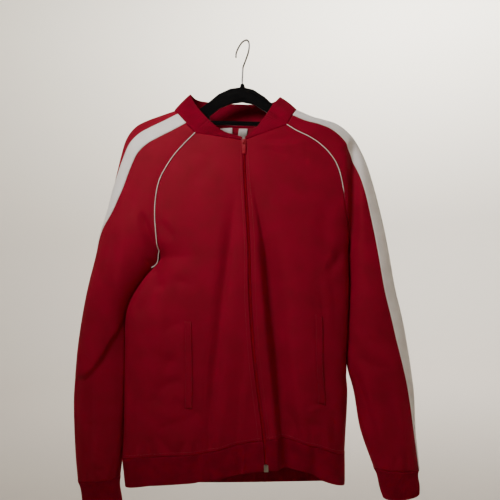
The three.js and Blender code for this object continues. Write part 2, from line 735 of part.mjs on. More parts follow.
function cuffGrid(sleeve, end) {
  const top = sleeve[sleeve.length - 1];
  const above = sleeve[sleeve.length - 2];
  const first = stepped(top, above, seamGap + cuffShape.clear);
  const centre = new THREE.Vector3();
  top.slice(1).forEach((p) => centre.add(p));
  centre.divideScalar(top.length - 1);
  const halfTop = Math.abs(top[0].x - top[crestColumn].x) / 2;
  const foot = top.map((p) => {
    const across = THREE.MathUtils.clamp((p.x - top[0].x) / (top[crestColumn].x - top[0].x), 0, 1);
    const { sleeveFront, sleeveBack } = cuffShape;
    const forward = (p.y - end.mid) / (p.y < end.mid ? sleeveFront : sleeveBack);
    const depth = forward < 0 ? end.front : end.back;
    return new THREE.Vector3(
      mix(end.innerX, end.outerX, across), end.mid + forward * depth,
      mix(end.innerZ, end.outerZ, across),
    );
  });
  const neck = first.map((p, k) => p.clone().lerp(foot[k], cuffShape.neckPart));
  neck.forEach((p) => {
    p.x = mix(p.x, centre.x, cuffShape.drawIn / halfTop);
    p.y = mix(p.y, end.mid, cuffShape.flatten);
  });
  const low = first.map((p, k) => p.clone().lerp(foot[k], cuffShape.lowPart));
  return [first, neck, low, foot];
}
const rightCuffGrid = cuffGrid(rightSleeve, rightCuff);
const leftCuffGrid = cuffGrid(leftSleeve, leftCuff);
addMesh('cuff_right', wall(rightCuffGrid, ribWall, 1, 0), ribRed);
addMesh('cuff_left', wall(leftCuffGrid, ribWall, -1, 0), ribRed);

// Sleeve tapes: the three tape columns of the sleeve, moved out
function tapeGrid(sleeve, sign) {
  const out = movedGrid(sleeve, sign, clothWall / 2 + seamGap + tapeWall / 2, raglanSteps);
  return out.map((row) => row.slice(tapeColumn, tapeColumn + 3));
}
addMesh('sleeve_tape_right', wall(tapeGrid(rightSleeve, 1), tapeWall, 1), white);
addMesh('sleeve_tape_left', wall(tapeGrid(leftSleeve, -1), tapeWall, -1), white);

// Piping: a cord just off each raglan seam, front and back, from the neck down. On the
// left front it goes out of sight under the sleeve's cloth before the underarm
const piping = { radius: 0.9, stand: 1.5, sides: 5 };
const pipingSteps = { right: raglanSteps - 1, left: 9, back: raglanSteps - 1 };
function pipingPath(sleeve, sign, column, steps) {
  const out = movedGrid(sleeve, sign, clothWall / 2 + piping.stand, raglanSteps);
  return out.slice(0, steps + 1).map((row) => row[column]);
}

// A strip of a few sides swept along points
function cord(points) {
  const { radius, sides } = piping;
  const curve = new THREE.CatmullRomCurve3(points);
  const section = new THREE.Shape();
  for (let k = 0; k < sides; k += 1) {
    const angle = (2 * Math.PI * k) / sides;
    const x = radius * Math.cos(angle);
    const y = radius * Math.sin(angle);
    if (k === 0) section.moveTo(x, y);
    else section.lineTo(x, y);
  }
  section.closePath();
  return new THREE.ExtrudeGeometry(section, {
    steps: (points.length - 1) * 2, bevelEnabled: false, extrudePath: curve,
  });
}

for (const [side, sleeve, sign] of [['right', rightSleeve, 1], ['left', leftSleeve, -1]]) {
  const last = sleeve[0].length - 1;
  const frontPath = pipingPath(sleeve, sign, 0, pipingSteps[side]);
  const backPath = pipingPath(sleeve, sign, last, pipingSteps.back);
  addMesh(`piping_${side}`, cord(frontPath), white);
  addMesh(`piping_back_${side}`, cord(backPath), white);
}

// Pocket welts: two guide columns of each front, moved out
const weltColumn = 5;
function weltGrid(front, sign, top, bottom) {
  const out = movedGrid(front, sign, clothWall / 2 + seamGap + weltWall / 2);
  const column = weltColumn;
  const rows = [];
  for (let r = 0; r < out.length - 1; r += 1) {
    const [z0, z1] = [out[r][column].z, out[r + 1][column].z];
    const cut = (z) => {
      const part = (z0 - z) / (z0 - z1);
      return [0, 1].map((k) => out[r][column + k].clone().lerp(out[r + 1][column + k], part));
    };
    if (z0 >= top && z1 < top) rows.push(cut(top));
    if (z1 < top && z1 > bottom) rows.push([0, 1].map((k) => out[r + 1][column + k].clone()));
    if (z0 > bottom && z1 <= bottom) rows.push(cut(bottom));
  }
  return rows;
}
addMesh('pocket_welt_right', wall(weltGrid(frontRight, 1, -556, -722), weltWall, 1), red);
addMesh('pocket_welt_left', wall(weltGrid(frontLeft, -1, -552, -719), weltWall, -1), red);

// Zip: tapes behind the fronts and the hem band, and the closed chain between them
const zipBehind = ribWall / 2 + seamGap + tapeWall / 2;
const zipTapeFoot = 16;
const zipTapeStand = 0.7;
const chain = { halfWidth: 2.2, depth: 2.4, behind: 1.7 };
function zipTapeGrid(front, hemColumn, inward) {
  const body = movedGrid(front, -inward, -zipBehind).map((row) => row.slice(0, 2));
  const hemRows = [hem[1], hem[2]].map((row) => {
    const pair = hemColumn === 0 ? [row[0], row[1]] : [row[row.length - 1], row[row.length - 2]];
    return pair.map((p) => p.clone().add(new THREE.Vector3(0, zipBehind, 0)));
  });
  hemRows[1].forEach((p) => p.setZ(p.z + zipTapeFoot));
  return [...body, ...hemRows].map(([a, b]) => {
    const inner = a.clone();
    inner.x -= inward * zipTapeStand;
    return [inner, b];
  });
}
addMesh('zip_tape_right', wall(zipTapeGrid(frontRight, 0, -1), tapeWall, 1), zipRed);
addMesh('zip_tape_left', wall(zipTapeGrid(frontLeft, 1, 1), tapeWall, -1), zipRed);

function chainGeometry() {
  const { halfWidth, depth, behind } = chain;
  const heights = [chainTop];
  for (let r = 1; r < bodyRows; r += 1) heights.push(zipZ(r));
  heights.push(hem[1][0].z, chainFoot);
  const strip = heights.map((z) => {
    const row = lookUp(zipColumns, zipTable, 'z', z);
    const low = Math.max(0, zipEnd.hem - z) / hemRibHeight;
    const y = mix(row.y, row.y * hemFoot.flattening, low) + behind;
    return [-halfWidth, halfWidth].map((dx) => new THREE.Vector3(row.x + dx, y, z));
  });
  return wall(strip, depth, 1);
}
addMesh('zip_chain', chainGeometry(), zipRed);

const zipTop = zipTable[0];
const sliderFrontY = zipTop[1] - 1.3;
const sliderBackY = zipTop[1] + 3.3;
const bridgeDrop = 2.4;
const bridgePlate = 1.2;
const sunk = 0.2;
function sliderGeometry() {
  const x = zipTop[0];
  const [frontY, backY] = [sliderFrontY, sliderBackY];
  const { halfWidth, top, length, plate, coreHalfWidth, core } = slider;
  const face = frontY - plate;
  const bridgeTop = top - bridgeDrop;
  const bridgeFoot = bridgeTop - bridge.leg * 2 - bridge.space;
  return fromSolid(joined(
    box(x - halfWidth, x + halfWidth, face, frontY, top - length, top),
    box(x - coreHalfWidth, x + coreHalfWidth, face, backY + plate, top - core, top),
    box(x - halfWidth, x + halfWidth, backY, backY + plate, top - length, top),
    box(x - bridge.halfWidth, x + bridge.halfWidth, face - bridge.reach, face + sunk,
      bridgeTop - bridge.leg, bridgeTop),
    box(x - bridge.halfWidth, x + bridge.halfWidth, face - bridge.reach, face + sunk,
      bridgeFoot, bridgeFoot + bridge.leg),
    box(x - bridge.halfWidth, x + bridge.halfWidth, face - bridge.reach,
      face - bridge.reach + bridgePlate, bridgeFoot, bridgeTop),
  ));
}
addMesh('zip_slider', sliderGeometry(), zipRed);

// The tab's bar lies inside the bridge, and the tab swings about it
const hinge = {
  x: zipTop[0],
  y: sliderFrontY - slider.plate - 1.3,
  z: slider.top - bridgeDrop - bridge.leg - bridge.space / 2,
};
const tabCorner = { top: 0.8, side: 1.4, foot: 2 };
function tabGeometry() {
  const outline = new THREE.Shape();
  const { halfWidth, length, bar, windowHalf, windowLength } = tab;
  outline.moveTo(-halfWidth + tabCorner.top, bar / 2);
  outline.lineTo(halfWidth - tabCorner.top, bar / 2);
  outline.lineTo(halfWidth, -bar);
  outline.lineTo(halfWidth, -length + tabCorner.foot);
  outline.lineTo(halfWidth - tabCorner.side, -length);
  outline.lineTo(-halfWidth + tabCorner.side, -length);
  outline.lineTo(-halfWidth, -length + tabCorner.foot);
  outline.lineTo(-halfWidth, -bar);
  outline.closePath();
  const hole = new THREE.Path();
  hole.moveTo(-windowHalf, -bar / 2);
  hole.lineTo(-windowHalf, -bar / 2 - windowLength);
  hole.lineTo(windowHalf, -bar / 2 - windowLength);
  hole.lineTo(windowHalf, -bar / 2);
  hole.closePath();
  outline.holes.push(hole);
  const geometry = new THREE.ExtrudeGeometry(outline, { depth: tab.thick, bevelEnabled: false });
  geometry.rotateX(Math.PI / 2);
  geometry.translate(hinge.x, hinge.y + tab.thick / 2, hinge.z);
  return geometry;
}
addMesh('pull_tab', tabGeometry(), zipRed);

const retainerCore = { halfWidth: 2.6, front: 1, back: 5, behind: 1.4 };
function retainerGeometry() {
  const { halfWidth, top, bottom, plate } = retainer;
  const foot = lookUp(zipColumns, zipTable, 'z', (top + bottom) / 2);
  const face = foot.y + retainerCore.behind - ribWall / 2;
  return fromSolid(joined(
    box(foot.x - halfWidth, foot.x + halfWidth, face - plate, face, bottom, top),
    box(foot.x - retainerCore.halfWidth, foot.x + retainerCore.halfWidth,
      face - retainerCore.front, face + retainerCore.back, bottom, top),
  ));
}
addMesh('zip_box', retainerGeometry(), paleMetal);

// Neck label and care tag, plain, lying inside the back
function backSurfaceY(x, z) {
  const at = new THREE.Vector2(x, z);
  for (let r = 0; r < back.length - 1; r += 1) {
    for (let c = 0; c < backCells; c += 1) {
      const [a, b, d, e] = [back[r][c], back[r + 1][c], back[r + 1][c + 1], back[r][c + 1]];
      for (const corners of [[a, b, d], [a, d, e]]) {
        const [p, q, w] = corners.map((v) => new THREE.Vector2(v.x, v.z));
        const area = q.clone().sub(p).cross(w.clone().sub(p));
        const u = at.clone().sub(p).cross(w.clone().sub(p)) / area;
        const v = q.clone().sub(p).cross(at.clone().sub(p)) / area;
        if (u >= 0 && v >= 0 && u + v <= 1) {
          return corners[0].y * (1 - u - v) + corners[1].y * u + corners[2].y * v;
        }
      }
    }
  }
  return back[0][backCells / 2].y;
}
const labelClear = 0.15;
function plateGrid(piece, lean) {
  const inset = clothWall / 2 + seamGap + labelClear + piece.wall / 2;
  return [0, 0.5, 1].map((down) => [0, 0.5, 1].map((across) => {
    const x = mix(piece.leftX, piece.rightX, across) - 3 * lean * down;
    const z = mix(piece.top, piece.bottom, down) - lean * across;
    return new THREE.Vector3(x, backSurfaceY(x, z) - inset - lean * down, z);
  }));
}
addMesh('neck_label', wall(plateGrid(label, 0), label.wall, 1), white);
addMesh('care_tag', wall(plateGrid(careTag, careTag.lean), careTag.wall, 1), white);

// Hanger: one flat piece with the window between arm and bar
const hangerEnd = { reach: 3, drop: 7, rise: 3 };
const windowLeast = 3;
function hangerShape() {
  const named = (line) => Object.fromEntries(hangerColumns.map((name, k) => [name, line[k]]));
  const rows = hangerTable.map(named);
  const slope = (barLine.rightTop - barLine.leftTop) / (barLine.rightX - barLine.leftX);
  const barTop = (x) => barLine.leftTop + slope * (x - barLine.leftX);
  const under = (row) => row.top - row.height;
  const shape = new THREE.Shape();
  rows.forEach((row, k) => (k === 0 ? shape.moveTo(row.x, row.top) : shape.lineTo(row.x, row.top)));
  const end = rows[rows.length - 1];
  shape.lineTo(end.x + hangerEnd.reach, end.top - hangerEnd.drop);
  shape.lineTo(end.x + hangerEnd.reach, under(end) + hangerEnd.rise);
  const overBar = rows.filter((row) => under(row) > barTop(row.x) - barHeight);
  [...rows].reverse().forEach((row) => {
    if (!overBar.includes(row)) {
      shape.lineTo(row.x, under(row));
    } else if (row === overBar[0] || row === overBar[overBar.length - 1]) {
      shape.lineTo(row.x, barTop(row.x) - barHeight);
    }
  });
  const start = rows[0];
  shape.lineTo(start.x - hangerEnd.reach, under(start) + hangerEnd.rise);
  shape.lineTo(start.x - hangerEnd.reach, start.top - hangerEnd.drop);
  shape.closePath();
  const inside = rows.filter((row) => under(row) > barTop(row.x) + windowLeast);
  const hole = new THREE.Path();
  hole.moveTo(inside[0].x, barTop(inside[0].x));
  hole.lineTo(inside[inside.length - 1].x, barTop(inside[inside.length - 1].x));
  [...inside].reverse().forEach((row) => hole.lineTo(row.x, under(row)));
  hole.closePath();
  shape.holes.push(hole);
  return shape;
}
const hangerBoss = { top: 3.4, foot: 6.3, height: 9, middle: -88.2, flat: 0.6 };
const hookSocket = { clear: 0.35, depth: 6, middle: -84.5 };
const [stemX] = hookTable[hookTable.length - 1];
function hangerGeometry() {
  const plate = new THREE.ExtrudeGeometry(hangerShape(), { depth: hangerThick, bevelEnabled: false });
  plate.rotateX(Math.PI / 2);
  plate.translate(0, hangerThick / 2, 0);
  const boss = new THREE.CylinderGeometry(hangerBoss.top, hangerBoss.foot, hangerBoss.height, 12);
  boss.rotateX(Math.PI / 2);
  boss.scale(1, hangerBoss.flat, 1);
  boss.translate(stemX, 0, hangerBoss.middle);
  const bore = hookWire / 2 + hookSocket.clear;
  const socket = new THREE.CylinderGeometry(bore, bore, hookSocket.depth, 8);
  socket.rotateX(Math.PI / 2);
  socket.translate(stemX, 0, hookSocket.middle);
  return fromSolid(joined(plate, boss).subtract(toSolid(socket)));
}
addMesh('hanger', hangerGeometry(), velvet);

// Hook: the wire is bent in one plane, which is swivelled about the upright stem
const stemFoot = -86.8;
function hookGeometry() {
  const turn = Math.tan(THREE.MathUtils.degToRad(hookTurnDegrees));
  const points = hookTable.map(([x, z]) => new THREE.Vector3(x, -(x - stemX) * turn, z));
  const section = new THREE.Shape();
  section.absarc(0, 0, hookWire / 2, 0, 2 * Math.PI);
  const curve = new THREE.CatmullRomCurve3([...points, new THREE.Vector3(stemX, 0, stemFoot)]);
  return new THREE.ExtrudeGeometry(section, {
    steps: 44, curveSegments: 4, bevelEnabled: false, extrudePath: curve,
  });
}
addMesh('hanger_hook', hookGeometry(), chrome);

export default scene;
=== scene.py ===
# A zip-front track jacket on a slim velvet hanger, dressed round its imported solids.
# Tables are in millimetres in the part's own frame: +Z up, front towards -Y, origin
# under the crown of the hook. Meshes are made in metres.
import math
import bmesh
import bpy
import numpy as np
from mathutils import Matrix, Vector


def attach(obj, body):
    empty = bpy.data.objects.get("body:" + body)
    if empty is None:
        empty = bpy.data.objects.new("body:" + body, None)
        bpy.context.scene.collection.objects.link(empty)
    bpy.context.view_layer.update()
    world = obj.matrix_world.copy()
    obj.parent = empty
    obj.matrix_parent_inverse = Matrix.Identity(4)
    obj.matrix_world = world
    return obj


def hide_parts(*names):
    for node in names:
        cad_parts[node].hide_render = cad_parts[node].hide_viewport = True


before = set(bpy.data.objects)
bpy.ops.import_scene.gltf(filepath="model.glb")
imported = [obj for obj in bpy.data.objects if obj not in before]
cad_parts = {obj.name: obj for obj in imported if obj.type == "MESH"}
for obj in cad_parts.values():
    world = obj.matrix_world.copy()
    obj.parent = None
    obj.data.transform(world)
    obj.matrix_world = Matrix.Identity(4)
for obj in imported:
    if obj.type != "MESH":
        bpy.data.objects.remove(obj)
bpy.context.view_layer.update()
print("frame loaded", len(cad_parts), "nodes")

mm = 0.001

# sizes shared by the cloth pieces
cloth = {
    "wall": 1.6,          # wall of the solids, which the seams allow for
    "shell": 1.0,         # what the shells here are made at
    "seamGap": 0.35,
    "sideMidY": -5,
    "sideHalfGap": 0.55,
    "armGap": 0.97,
    "zipHalfGap": 2.7,
    "sideRoundness": 2.5,
    "raglanRows": 84,
    "lowerRows": 132,
    "frontColumns": 96,
    "backColumns": 128,
    "sleeveColumns": 112,
}

sleeveColumns = ["seamX", "seamZ", "backX", "backZ", "ridgeX", "ridgeZ",
                 "mid", "front", "back", "turn", "tape"]
rightSleeveTable = {"underarm": 8, "rows": [
    [-103, -187, -106, -152, -149, -132, 0, 37, 28, 90, 30],
    [-126, -208, -124, -182, -181, -141, 0, 37, 28, 90, 34],
    [-146, -228, -142, -210, -209, -149.5, 0, 36, 28, 90, 35],
    [-165, -254, -160, -240, -232, -161, 0, 36, 28, 90, 33],
    [-179, -281, -175, -272, -251, -184, 0, 36, 28, 90, 28],
    [-187, -318, -184, -311, -264, -222, -1, 36, 28, 88, 21],
    [-189, -360, -187, -356, -279, -278, -2, 36, 28, 80, 10],
    [-187, -400, -187, -398, -294, -332, -4, 35, 28, 55, -3],
    [-189, -434, -189, -434, -308, -375, -5, 34, 28, 0, -18],
    [-219, -466, -219, -466, -321, -425, -6, 33, 28, 0, -31],
    [-249, -507, -249, -507, -338, -484, -6, 32, 27, 0, -41],
    [-263, -546, -263, -546, -350, -535, -6, 30, 26, 0, -45],
    [-266, -600, -266, -600, -361, -592, -6, 29, 26, 0, -47],
    [-268.5, -655, -268.5, -655, -369, -652, -6, 28, 26, 0, -48],
    [-271, -710, -271, -710, -375, -712, -6, 28, 26, 0, -48],
    [-274, -770, -274, -770, -375.5, -772, -6, 27, 25, 0, -48],
    [-279, -827, -279, -827, -374, -826, -6, 26, 25, 0, -47],
    [-285, -866, -285, -866, -371, -871, -6, 25, 24, 0, -46],
]}
leftSleeveTable = {"underarm": 9, "rows": [
    [78, -181, 80, -156, 99, -145.5, 0, 37, 27, 90, 8],
    [96, -193.5, 97, -174, 128, -160, 0, 37, 28, 90, 7],
    [118, -205.5, 116, -190, 153, -168.5, 0, 37, 28, 90, 5],
    [139, -220.5, 136, -208, 176, -177.5, 0, 36, 28, 90, 5],
    [158, -241, 154, -232, 196, -193.5, 0, 36, 28, 90, 6],
    [172, -266, 169, -260, 214, -217, 0, 36, 28, 90, 8],
    [180, -300, 178, -296, 230, -254, -1, 35, 28, 86, 9],
    [185, -345, 184, -343, 243, -302, -3, 34, 28, 68, 11],
    [191, -392, 191, -391, 256, -366, -4, 33, 28, 38, 12],
    [190, -440, 190, -440, 266, -430, -5, 33, 28, 0, 12],
    [189, -500, 189, -500, 275, -500, -8, 32, 28, 0, 11],
    [184, -560, 184, -560, 285, -560, -10, 31, 28, 0, 7],
    [180, -610, 180, -610, 292, -612, -10, 30, 28, 0, 3],
    [177, -655, 177, -655, 298, -662, -10, 30, 27, 0, -2],
    [188, -706, 188, -706, 302, -716, -10, 29, 27, 0, -8],
    [198, -779, 198, -779, 302, -783, -10, 28, 26, 0, -16],
    [220, -851, 220, -851, 306, -855, -10, 26, 25, 0, -20],
]}

zipColumns = ["x", "y", "z"]
zipTable = [
    [-7, -46, -208.5], [-7, -49, -287], [-4, -51, -403], [-5, -52, -500],
    [-4, -53, -562], [1, -54, -657], [12, -54, -783], [13.5, -54, -843],
]
zipEnd = {"raglan": -425, "hem": -785}

sideColumns = ["x", "z"]
rightSideTable = [
    [-186, -437], [-213, -474], [-243, -513], [-257, -556], [-261.5, -610],
    [-264, -670], [-266.5, -730], [-269.5, -790], [-271, -826],
]
leftSideTable = [
    [187, -443], [186, -502], [181, -560], [177, -608], [173.5, -655],
    [176, -700], [173, -745], [169, -785], [165.5, -822],
]

# down to the height armContact the body's side lies against the sleeve
armContact = {"right": -840, "left": -650, "fade": 30, "matchedRows": 44}

# the pocket welts' edges, as parts of the way from the zip to the side
weltColumns = ["z", "inner", "outer"]
rightWelt = {"top": -556, "bottom": -722, "rows": [
    [-459, 0.44, 0.5], [-559, 0.442, 0.497], [-665, 0.453, 0.507], [-785, 0.5, 0.55]]}
leftWelt = {"top": -552, "bottom": -719, "rows": [
    [-425, 0.58, 0.66], [-526, 0.64, 0.72], [-602, 0.65, 0.73], [-785, 0.64, 0.73]]}

# the large folds: a straight line, pushed in (+) or out (-), with its reach each way
foldColumns = ["topX", "topZ", "bottomX", "bottomZ", "depth", "leftReach", "rightReach"]
rightFolds = [
    [-22, -286, -96, -783, 6, 16, 12],
    [-15, -600, -44, -800, 4, 26, 7],
    [-187, -430, -215, -520, 8, 18, 26],
    [-160, -610, -190, -700, 4, 24, 20],
]
leftFolds = [
    [17, -345, 46, -800, 17, 6.5, 34],
    [95, -740, 112, -800, 7, 14, 20],
    [70, -560, 96, -740, -4, 24, 24],
]

# the collar's free edge against places along the neck seam: 0 zip, 1 raglan seam,
# 2 ridge, 3 back raglan seam, and on to 8 at the zip again
collarColumns = ["place", "x", "y", "z"]
collarTable = [
    [0, -11, -45, -203], [0.5, -46, -39, -188], [1, -76, -33, -161], [1.5, -103, -17, -126],
    [2, -115.4, 0, -99.6], [2.5, -107, 20, -104], [3, -90, 37, -104.5], [3.5, -52, 43, -108.5],
    [4, -15, 44, -112], [4.5, 20, 42, -115], [5, 46, 31, -116.5], [5.5, 58, 16, -117.2],
    [6, 65, 0, -115.4], [6.5, 51, -13, -133], [7, 42, -20, -148], [7.5, 18, -34, -182.5],
    [8, -3, -44, -203],
]

seamColumns = ["x", "z"]
hemSeamTable = [
    [-271, -828], [-213, -818], [-146, -813], [-104, -809], [-75, -803], [-45, -794],
    [-16, -788], [12, -785], [40, -783], [65, -788], [96, -798], [136, -811], [166, -824],
]
hemFootTable = [
    [-268, -884], [-215, -874], [-100, -863], [-45, -851], [-6, -845], [19, -842],
    [57, -844], [91, -849], [116, -866], [162, -884],
]


def mix(a, b, t):
    return a + (b - a) * t


def smooth(v, low=0.0, high=1.0):
    v = np.clip((v - low) / (high - low), 0, 1)
    return v * v * (3 - 2 * v)


def lengthOf(v):
    return np.linalg.norm(v, axis=-1, keepdims=True)


# length run so far along a grid's rows or columns
def runLength(grid, axis):
    steps = np.cumsum(lengthOf(np.diff(grid, axis=axis))[..., 0], axis)
    return np.concatenate([np.zeros_like(steps.take([0], axis)), steps], axis)


# smooth values between the rows of one table column, at places t
def splineAt(values, t):
    values = np.asarray(values, float)
    t = np.asarray(t, float)
    last = len(values) - 1
    i = np.clip(np.floor(t).astype(int), 0, last - 1)
    f = t - i
    before = values[np.maximum(i - 1, 0)]
    after = values[np.minimum(i + 2, last)]
    slopeIn = (values[i + 1] - before) / np.where(i > 0, 2, 1)
    slopeOut = (after - values[i]) / np.where(i + 2 <= last, 2, 1)
    return (values[i] * (2 * f ** 3 - 3 * f ** 2 + 1) + slopeIn * (f ** 3 - 2 * f ** 2 + f)
            + values[i + 1] * (3 * f ** 2 - 2 * f ** 3) + slopeOut * (f ** 3 - f ** 2))


def rowsAt(columns, table, t):
    return {name: splineAt([row[k] for row in table], t) for k, name in enumerate(columns)}


def lookUp(columns, table, key, value):
    keys = np.array([row[columns.index(key)] for row in table], float)
    value = np.asarray(value, float)
    if keys[-1] < keys[0]:
        keys, value = -keys, -value
    return rowsAt(columns, table, np.interp(value, keys, np.arange(len(keys))))


def point(x, y, z):
    return np.stack(np.broadcast_arrays(x, y, z), axis=-1).astype(float)


def placed(name, data):
    piece = bpy.data.objects.new(name, data)
    bpy.context.scene.collection.objects.link(piece)
    return piece


def dress(piece, node):
    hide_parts(node)


# Grids of points: rows run down a piece, columns across it. sewnFrom is the row from
# which the first and last columns are one, or None for an open sheet.
def gridNormals(grid, sign, sewnFrom=None):
    face = np.cross(grid[1:, 1:] - grid[:-1, :-1], grid[1:, :-1] - grid[:-1, 1:])
    face = face / np.maximum(lengthOf(face), 1e-9) * sign
    normals = np.zeros_like(grid)
    normals[:-1, :-1] += face
    normals[1:, :-1] += face
    normals[:-1, 1:] += face
    normals[1:, 1:] += face
    if sewnFrom is not None:
        both = normals[sewnFrom:, 0] + normals[sewnFrom:, -1]
        normals[sewnFrom:, 0] = both
        normals[sewnFrom:, -1] = both
    return normals / np.maximum(lengthOf(normals), 1e-9)


# a closed wall from a grid at its middle. relief is added to the outer side only.
def wallPiece(name, grid, thickness, sign, material, sewnFrom=None, relief=0.0):
    normals = gridNormals(grid, sign, sewnFrom)
    half = np.broadcast_to(np.asarray(thickness, float) / 2, grid.shape[:2])[..., None]
    relief = np.broadcast_to(np.asarray(relief, float), grid.shape[:2])[..., None]
    outer = grid + normals * (half + relief)
    inner = grid - normals * half
    rows, cols = grid.shape[:2]
    index = np.arange(2 * rows * cols).reshape(2, rows, cols)
    if sewnFrom is not None:
        index[:, sewnFrom:, -1] = index[:, sewnFrom:, 0]
    across = runLength(grid, 1)
    down = runLength(grid, 0)
    uv = np.stack([across - across[:, cols // 2][:, None], down], -1) * mm
    faces, corners = [], []

    def quads(a, b, c, d, ua, ub, uc, ud):
        faces.append(np.stack([a, b, c, d], -1).reshape(-1, 4))
        corners.append(np.stack([ua, ub, uc, ud], -2).reshape(-1, 4, 2))

    def rim(a, b, c, d, ua, ub, turned):
        if turned:
            quads(a, d, c, b, ua, ua, ub, ub)
        else:
            quads(a, b, c, d, ua, ub, ub, ua)

    o, i = index
    quads(o[:-1, :-1], o[1:, :-1], o[1:, 1:], o[:-1, 1:],
          uv[:-1, :-1], uv[1:, :-1], uv[1:, 1:], uv[:-1, 1:])
    quads(i[:-1, :-1], i[:-1, 1:], i[1:, 1:], i[1:, :-1],
          uv[:-1, :-1], uv[:-1, 1:], uv[1:, 1:], uv[1:, :-1])
    for row, turned in ((0, False), (rows - 1, True)):
        a, b, c, d = o[row, :-1], o[row, 1:], i[row, 1:], i[row, :-1]
        rim(a, b, c, d, uv[row, :-1], uv[row, 1:], turned)
    openRows = rows - 1 if sewnFrom is None else sewnFrom
    for col, turned in ((0, True), (cols - 1, False)):
        if openRows > 0:
            a, b = o[:openRows, col], o[1:openRows + 1, col]
            c, d = i[1:openRows + 1, col], i[:openRows, col]
            rim(a, b, c, d, uv[:openRows, col], uv[1:openRows + 1, col], turned)
    points = np.concatenate([outer.reshape(-1, 3), inner.reshape(-1, 3)])
    return meshPiece(name, points, np.concatenate(faces).tolist(), material, np.concatenate(corners))


# A mesh object from points in millimetres. Its faces are turned to point outwards.
def meshPiece(name, points, faces, material, corners):
    mesh = bpy.data.meshes.new(name)
    mesh.from_pydata((np.asarray(points) * mm).tolist(), [], faces)
    layer = mesh.uv_layers.new(name="cut")
    layer.data.foreach_set("uv", np.asarray(corners, np.float32).reshape(-1))
    work = bmesh.new()
    work.from_mesh(mesh)
    loose = [v for v in work.verts if not v.link_faces]
    bmesh.ops.delete(work, geom=loose, context="VERTS")
    if work.calc_volume(signed=True) < 0:
        bmesh.ops.reverse_faces(work, faces=work.faces)
    work.to_mesh(mesh)
    work.free()
    mesh.polygons.foreach_set("use_smooth", np.ones(len(mesh.polygons), bool))
    mesh.materials.append(material)
    piece = placed(name, mesh)
    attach(piece, "jacket")
    return piece


# a round cord along points, with rounded ends. radius may change along it.
def cordPiece(name, path, radius, sides, material):
    path = np.asarray(path, float)
    radius = np.broadcast_to(np.asarray(radius, float), (len(path),))
    tangent = np.gradient(path, axis=0)
    tangent = tangent / lengthOf(tangent)
    across = np.cross(tangent[0], (0.13, 0.2, 0.97))
    rings = []
    angle = np.linspace(0, 2 * np.pi, sides, endpoint=False)[:, None]
    for k, (p, t) in enumerate(zip(path, tangent)):
        across = across - t * across.dot(t)
        across = across / np.linalg.norm(across)
        other = np.cross(t, across)
        rings.append(p + radius[k] * (np.cos(angle) * across + np.sin(angle) * other))
    for end, way in ((0, -1), (len(path) - 1, 1)):
        tip = []
        for reach, part in ((0.55, 0.83), (0.9, 0.43)):
            tip.append(path[end] + way * reach * radius[end] * tangent[end] + (rings[end] - path[end]) * part)
        if end == 0:
            first = tip[::-1]
        else:
            last = tip
    rings = np.array(first + rings + last)
    count = len(rings)
    index = np.arange(count * sides).reshape(count, sides)
    after = np.roll(index, -1, axis=1)
    quads = np.stack([index[:-1], index[1:], after[1:], after[:-1]], -1).reshape(-1, 4).tolist()
    along = np.concatenate([[0], np.cumsum(np.linalg.norm(np.diff(rings[:, 0], axis=0), axis=1))]) * mm
    around = np.arange(sides + 1) * (2 * np.pi * radius.mean() * mm / sides)
    v, u = np.meshgrid(along, around, indexing="ij")
    uv = np.stack([u, v], -1)
    corners = np.stack([uv[:-1, :-1], uv[1:, :-1], uv[1:, 1:], uv[:-1, 1:]], -2).reshape(-1, 2)
    caps = [index[0].tolist(), index[-1][::-1].tolist()]
    capUv = np.concatenate([uv[0, :-1], uv[-1, :-1][::-1]])
    return meshPiece(name, rings.reshape(-1, 3), quads + caps, material, np.concatenate([corners, capUv]))


# Creases: lines over the cloth as it is seen from the front or from behind, pushed in
# (+) or out (-), with a reach to each side of the line and a lip that stands up beside
creaseDepth = 0.55


def creasePush(grid, creases):
    x, z = grid[..., 0], grid[..., 2]
    push = np.zeros(x.shape)
    for line, depth, leftReach, rightReach, lip in creases:
        line = np.array(line, float)
        steps = np.linalg.norm(np.diff(line, axis=0), axis=1)
        total = steps.sum()
        best = np.full(x.shape, 1e9)
        side = np.zeros(x.shape)
        along = np.zeros(x.shape)
        start = 0.0
        for a, b, step in zip(line[:-1], line[1:], steps):
            d = (b - a) / step
            px, pz = x - a[0], z - a[1]
            t = np.clip(px * d[0] + pz * d[1], 0, step)
            far = np.hypot(px - t * d[0], pz - t * d[1])
            nearer = far < best
            best = np.where(nearer, far, best)
            side = np.where(nearer, d[0] * pz - d[1] * px, side)
            along = np.where(nearer, (start + t) / total, along)
            start += step
        reach = np.where(side > 0, rightReach, leftReach)
        ends = smooth(np.minimum(along, 1 - along) / 0.3)
        trough = np.exp(-(best / reach) ** 2)
        beside = np.exp(-((best - 1.9 * reach) / reach) ** 2) * lip
        push += creaseDepth * depth * (trough - beside) * ends
    return push


# Raglan sleeves: sections from the front seam over the ridge to the back seam, an open
# arch above the underarm and a tube below it
def sleeveSection(row, phi):
    turn = np.radians(row["turn"])[:, None]
    angle = mix(turn, 2 * np.pi - turn, phi[None, :])
    front = angle <= np.pi
    away = (1 + np.cos(angle)) / (1 + np.cos(turn))
    fromX = np.where(front, row["seamX"][:, None], row["backX"][:, None])
    fromZ = np.where(front, row["seamZ"][:, None], row["backZ"][:, None])
    depth = np.where(front, row["front"][:, None], row["back"][:, None])
    return point(mix(row["ridgeX"][:, None], fromX, away), row["mid"][:, None] - depth * np.sin(angle),
                 mix(row["ridgeZ"][:, None], fromZ, away))


# the upper arm hangs over the forearm along a diagonal
armStep = {"depth": 9, "line": [(-347, -662), (-316, -633), (-277, -575.5), (-262, -540), (-248, -507.5)]}


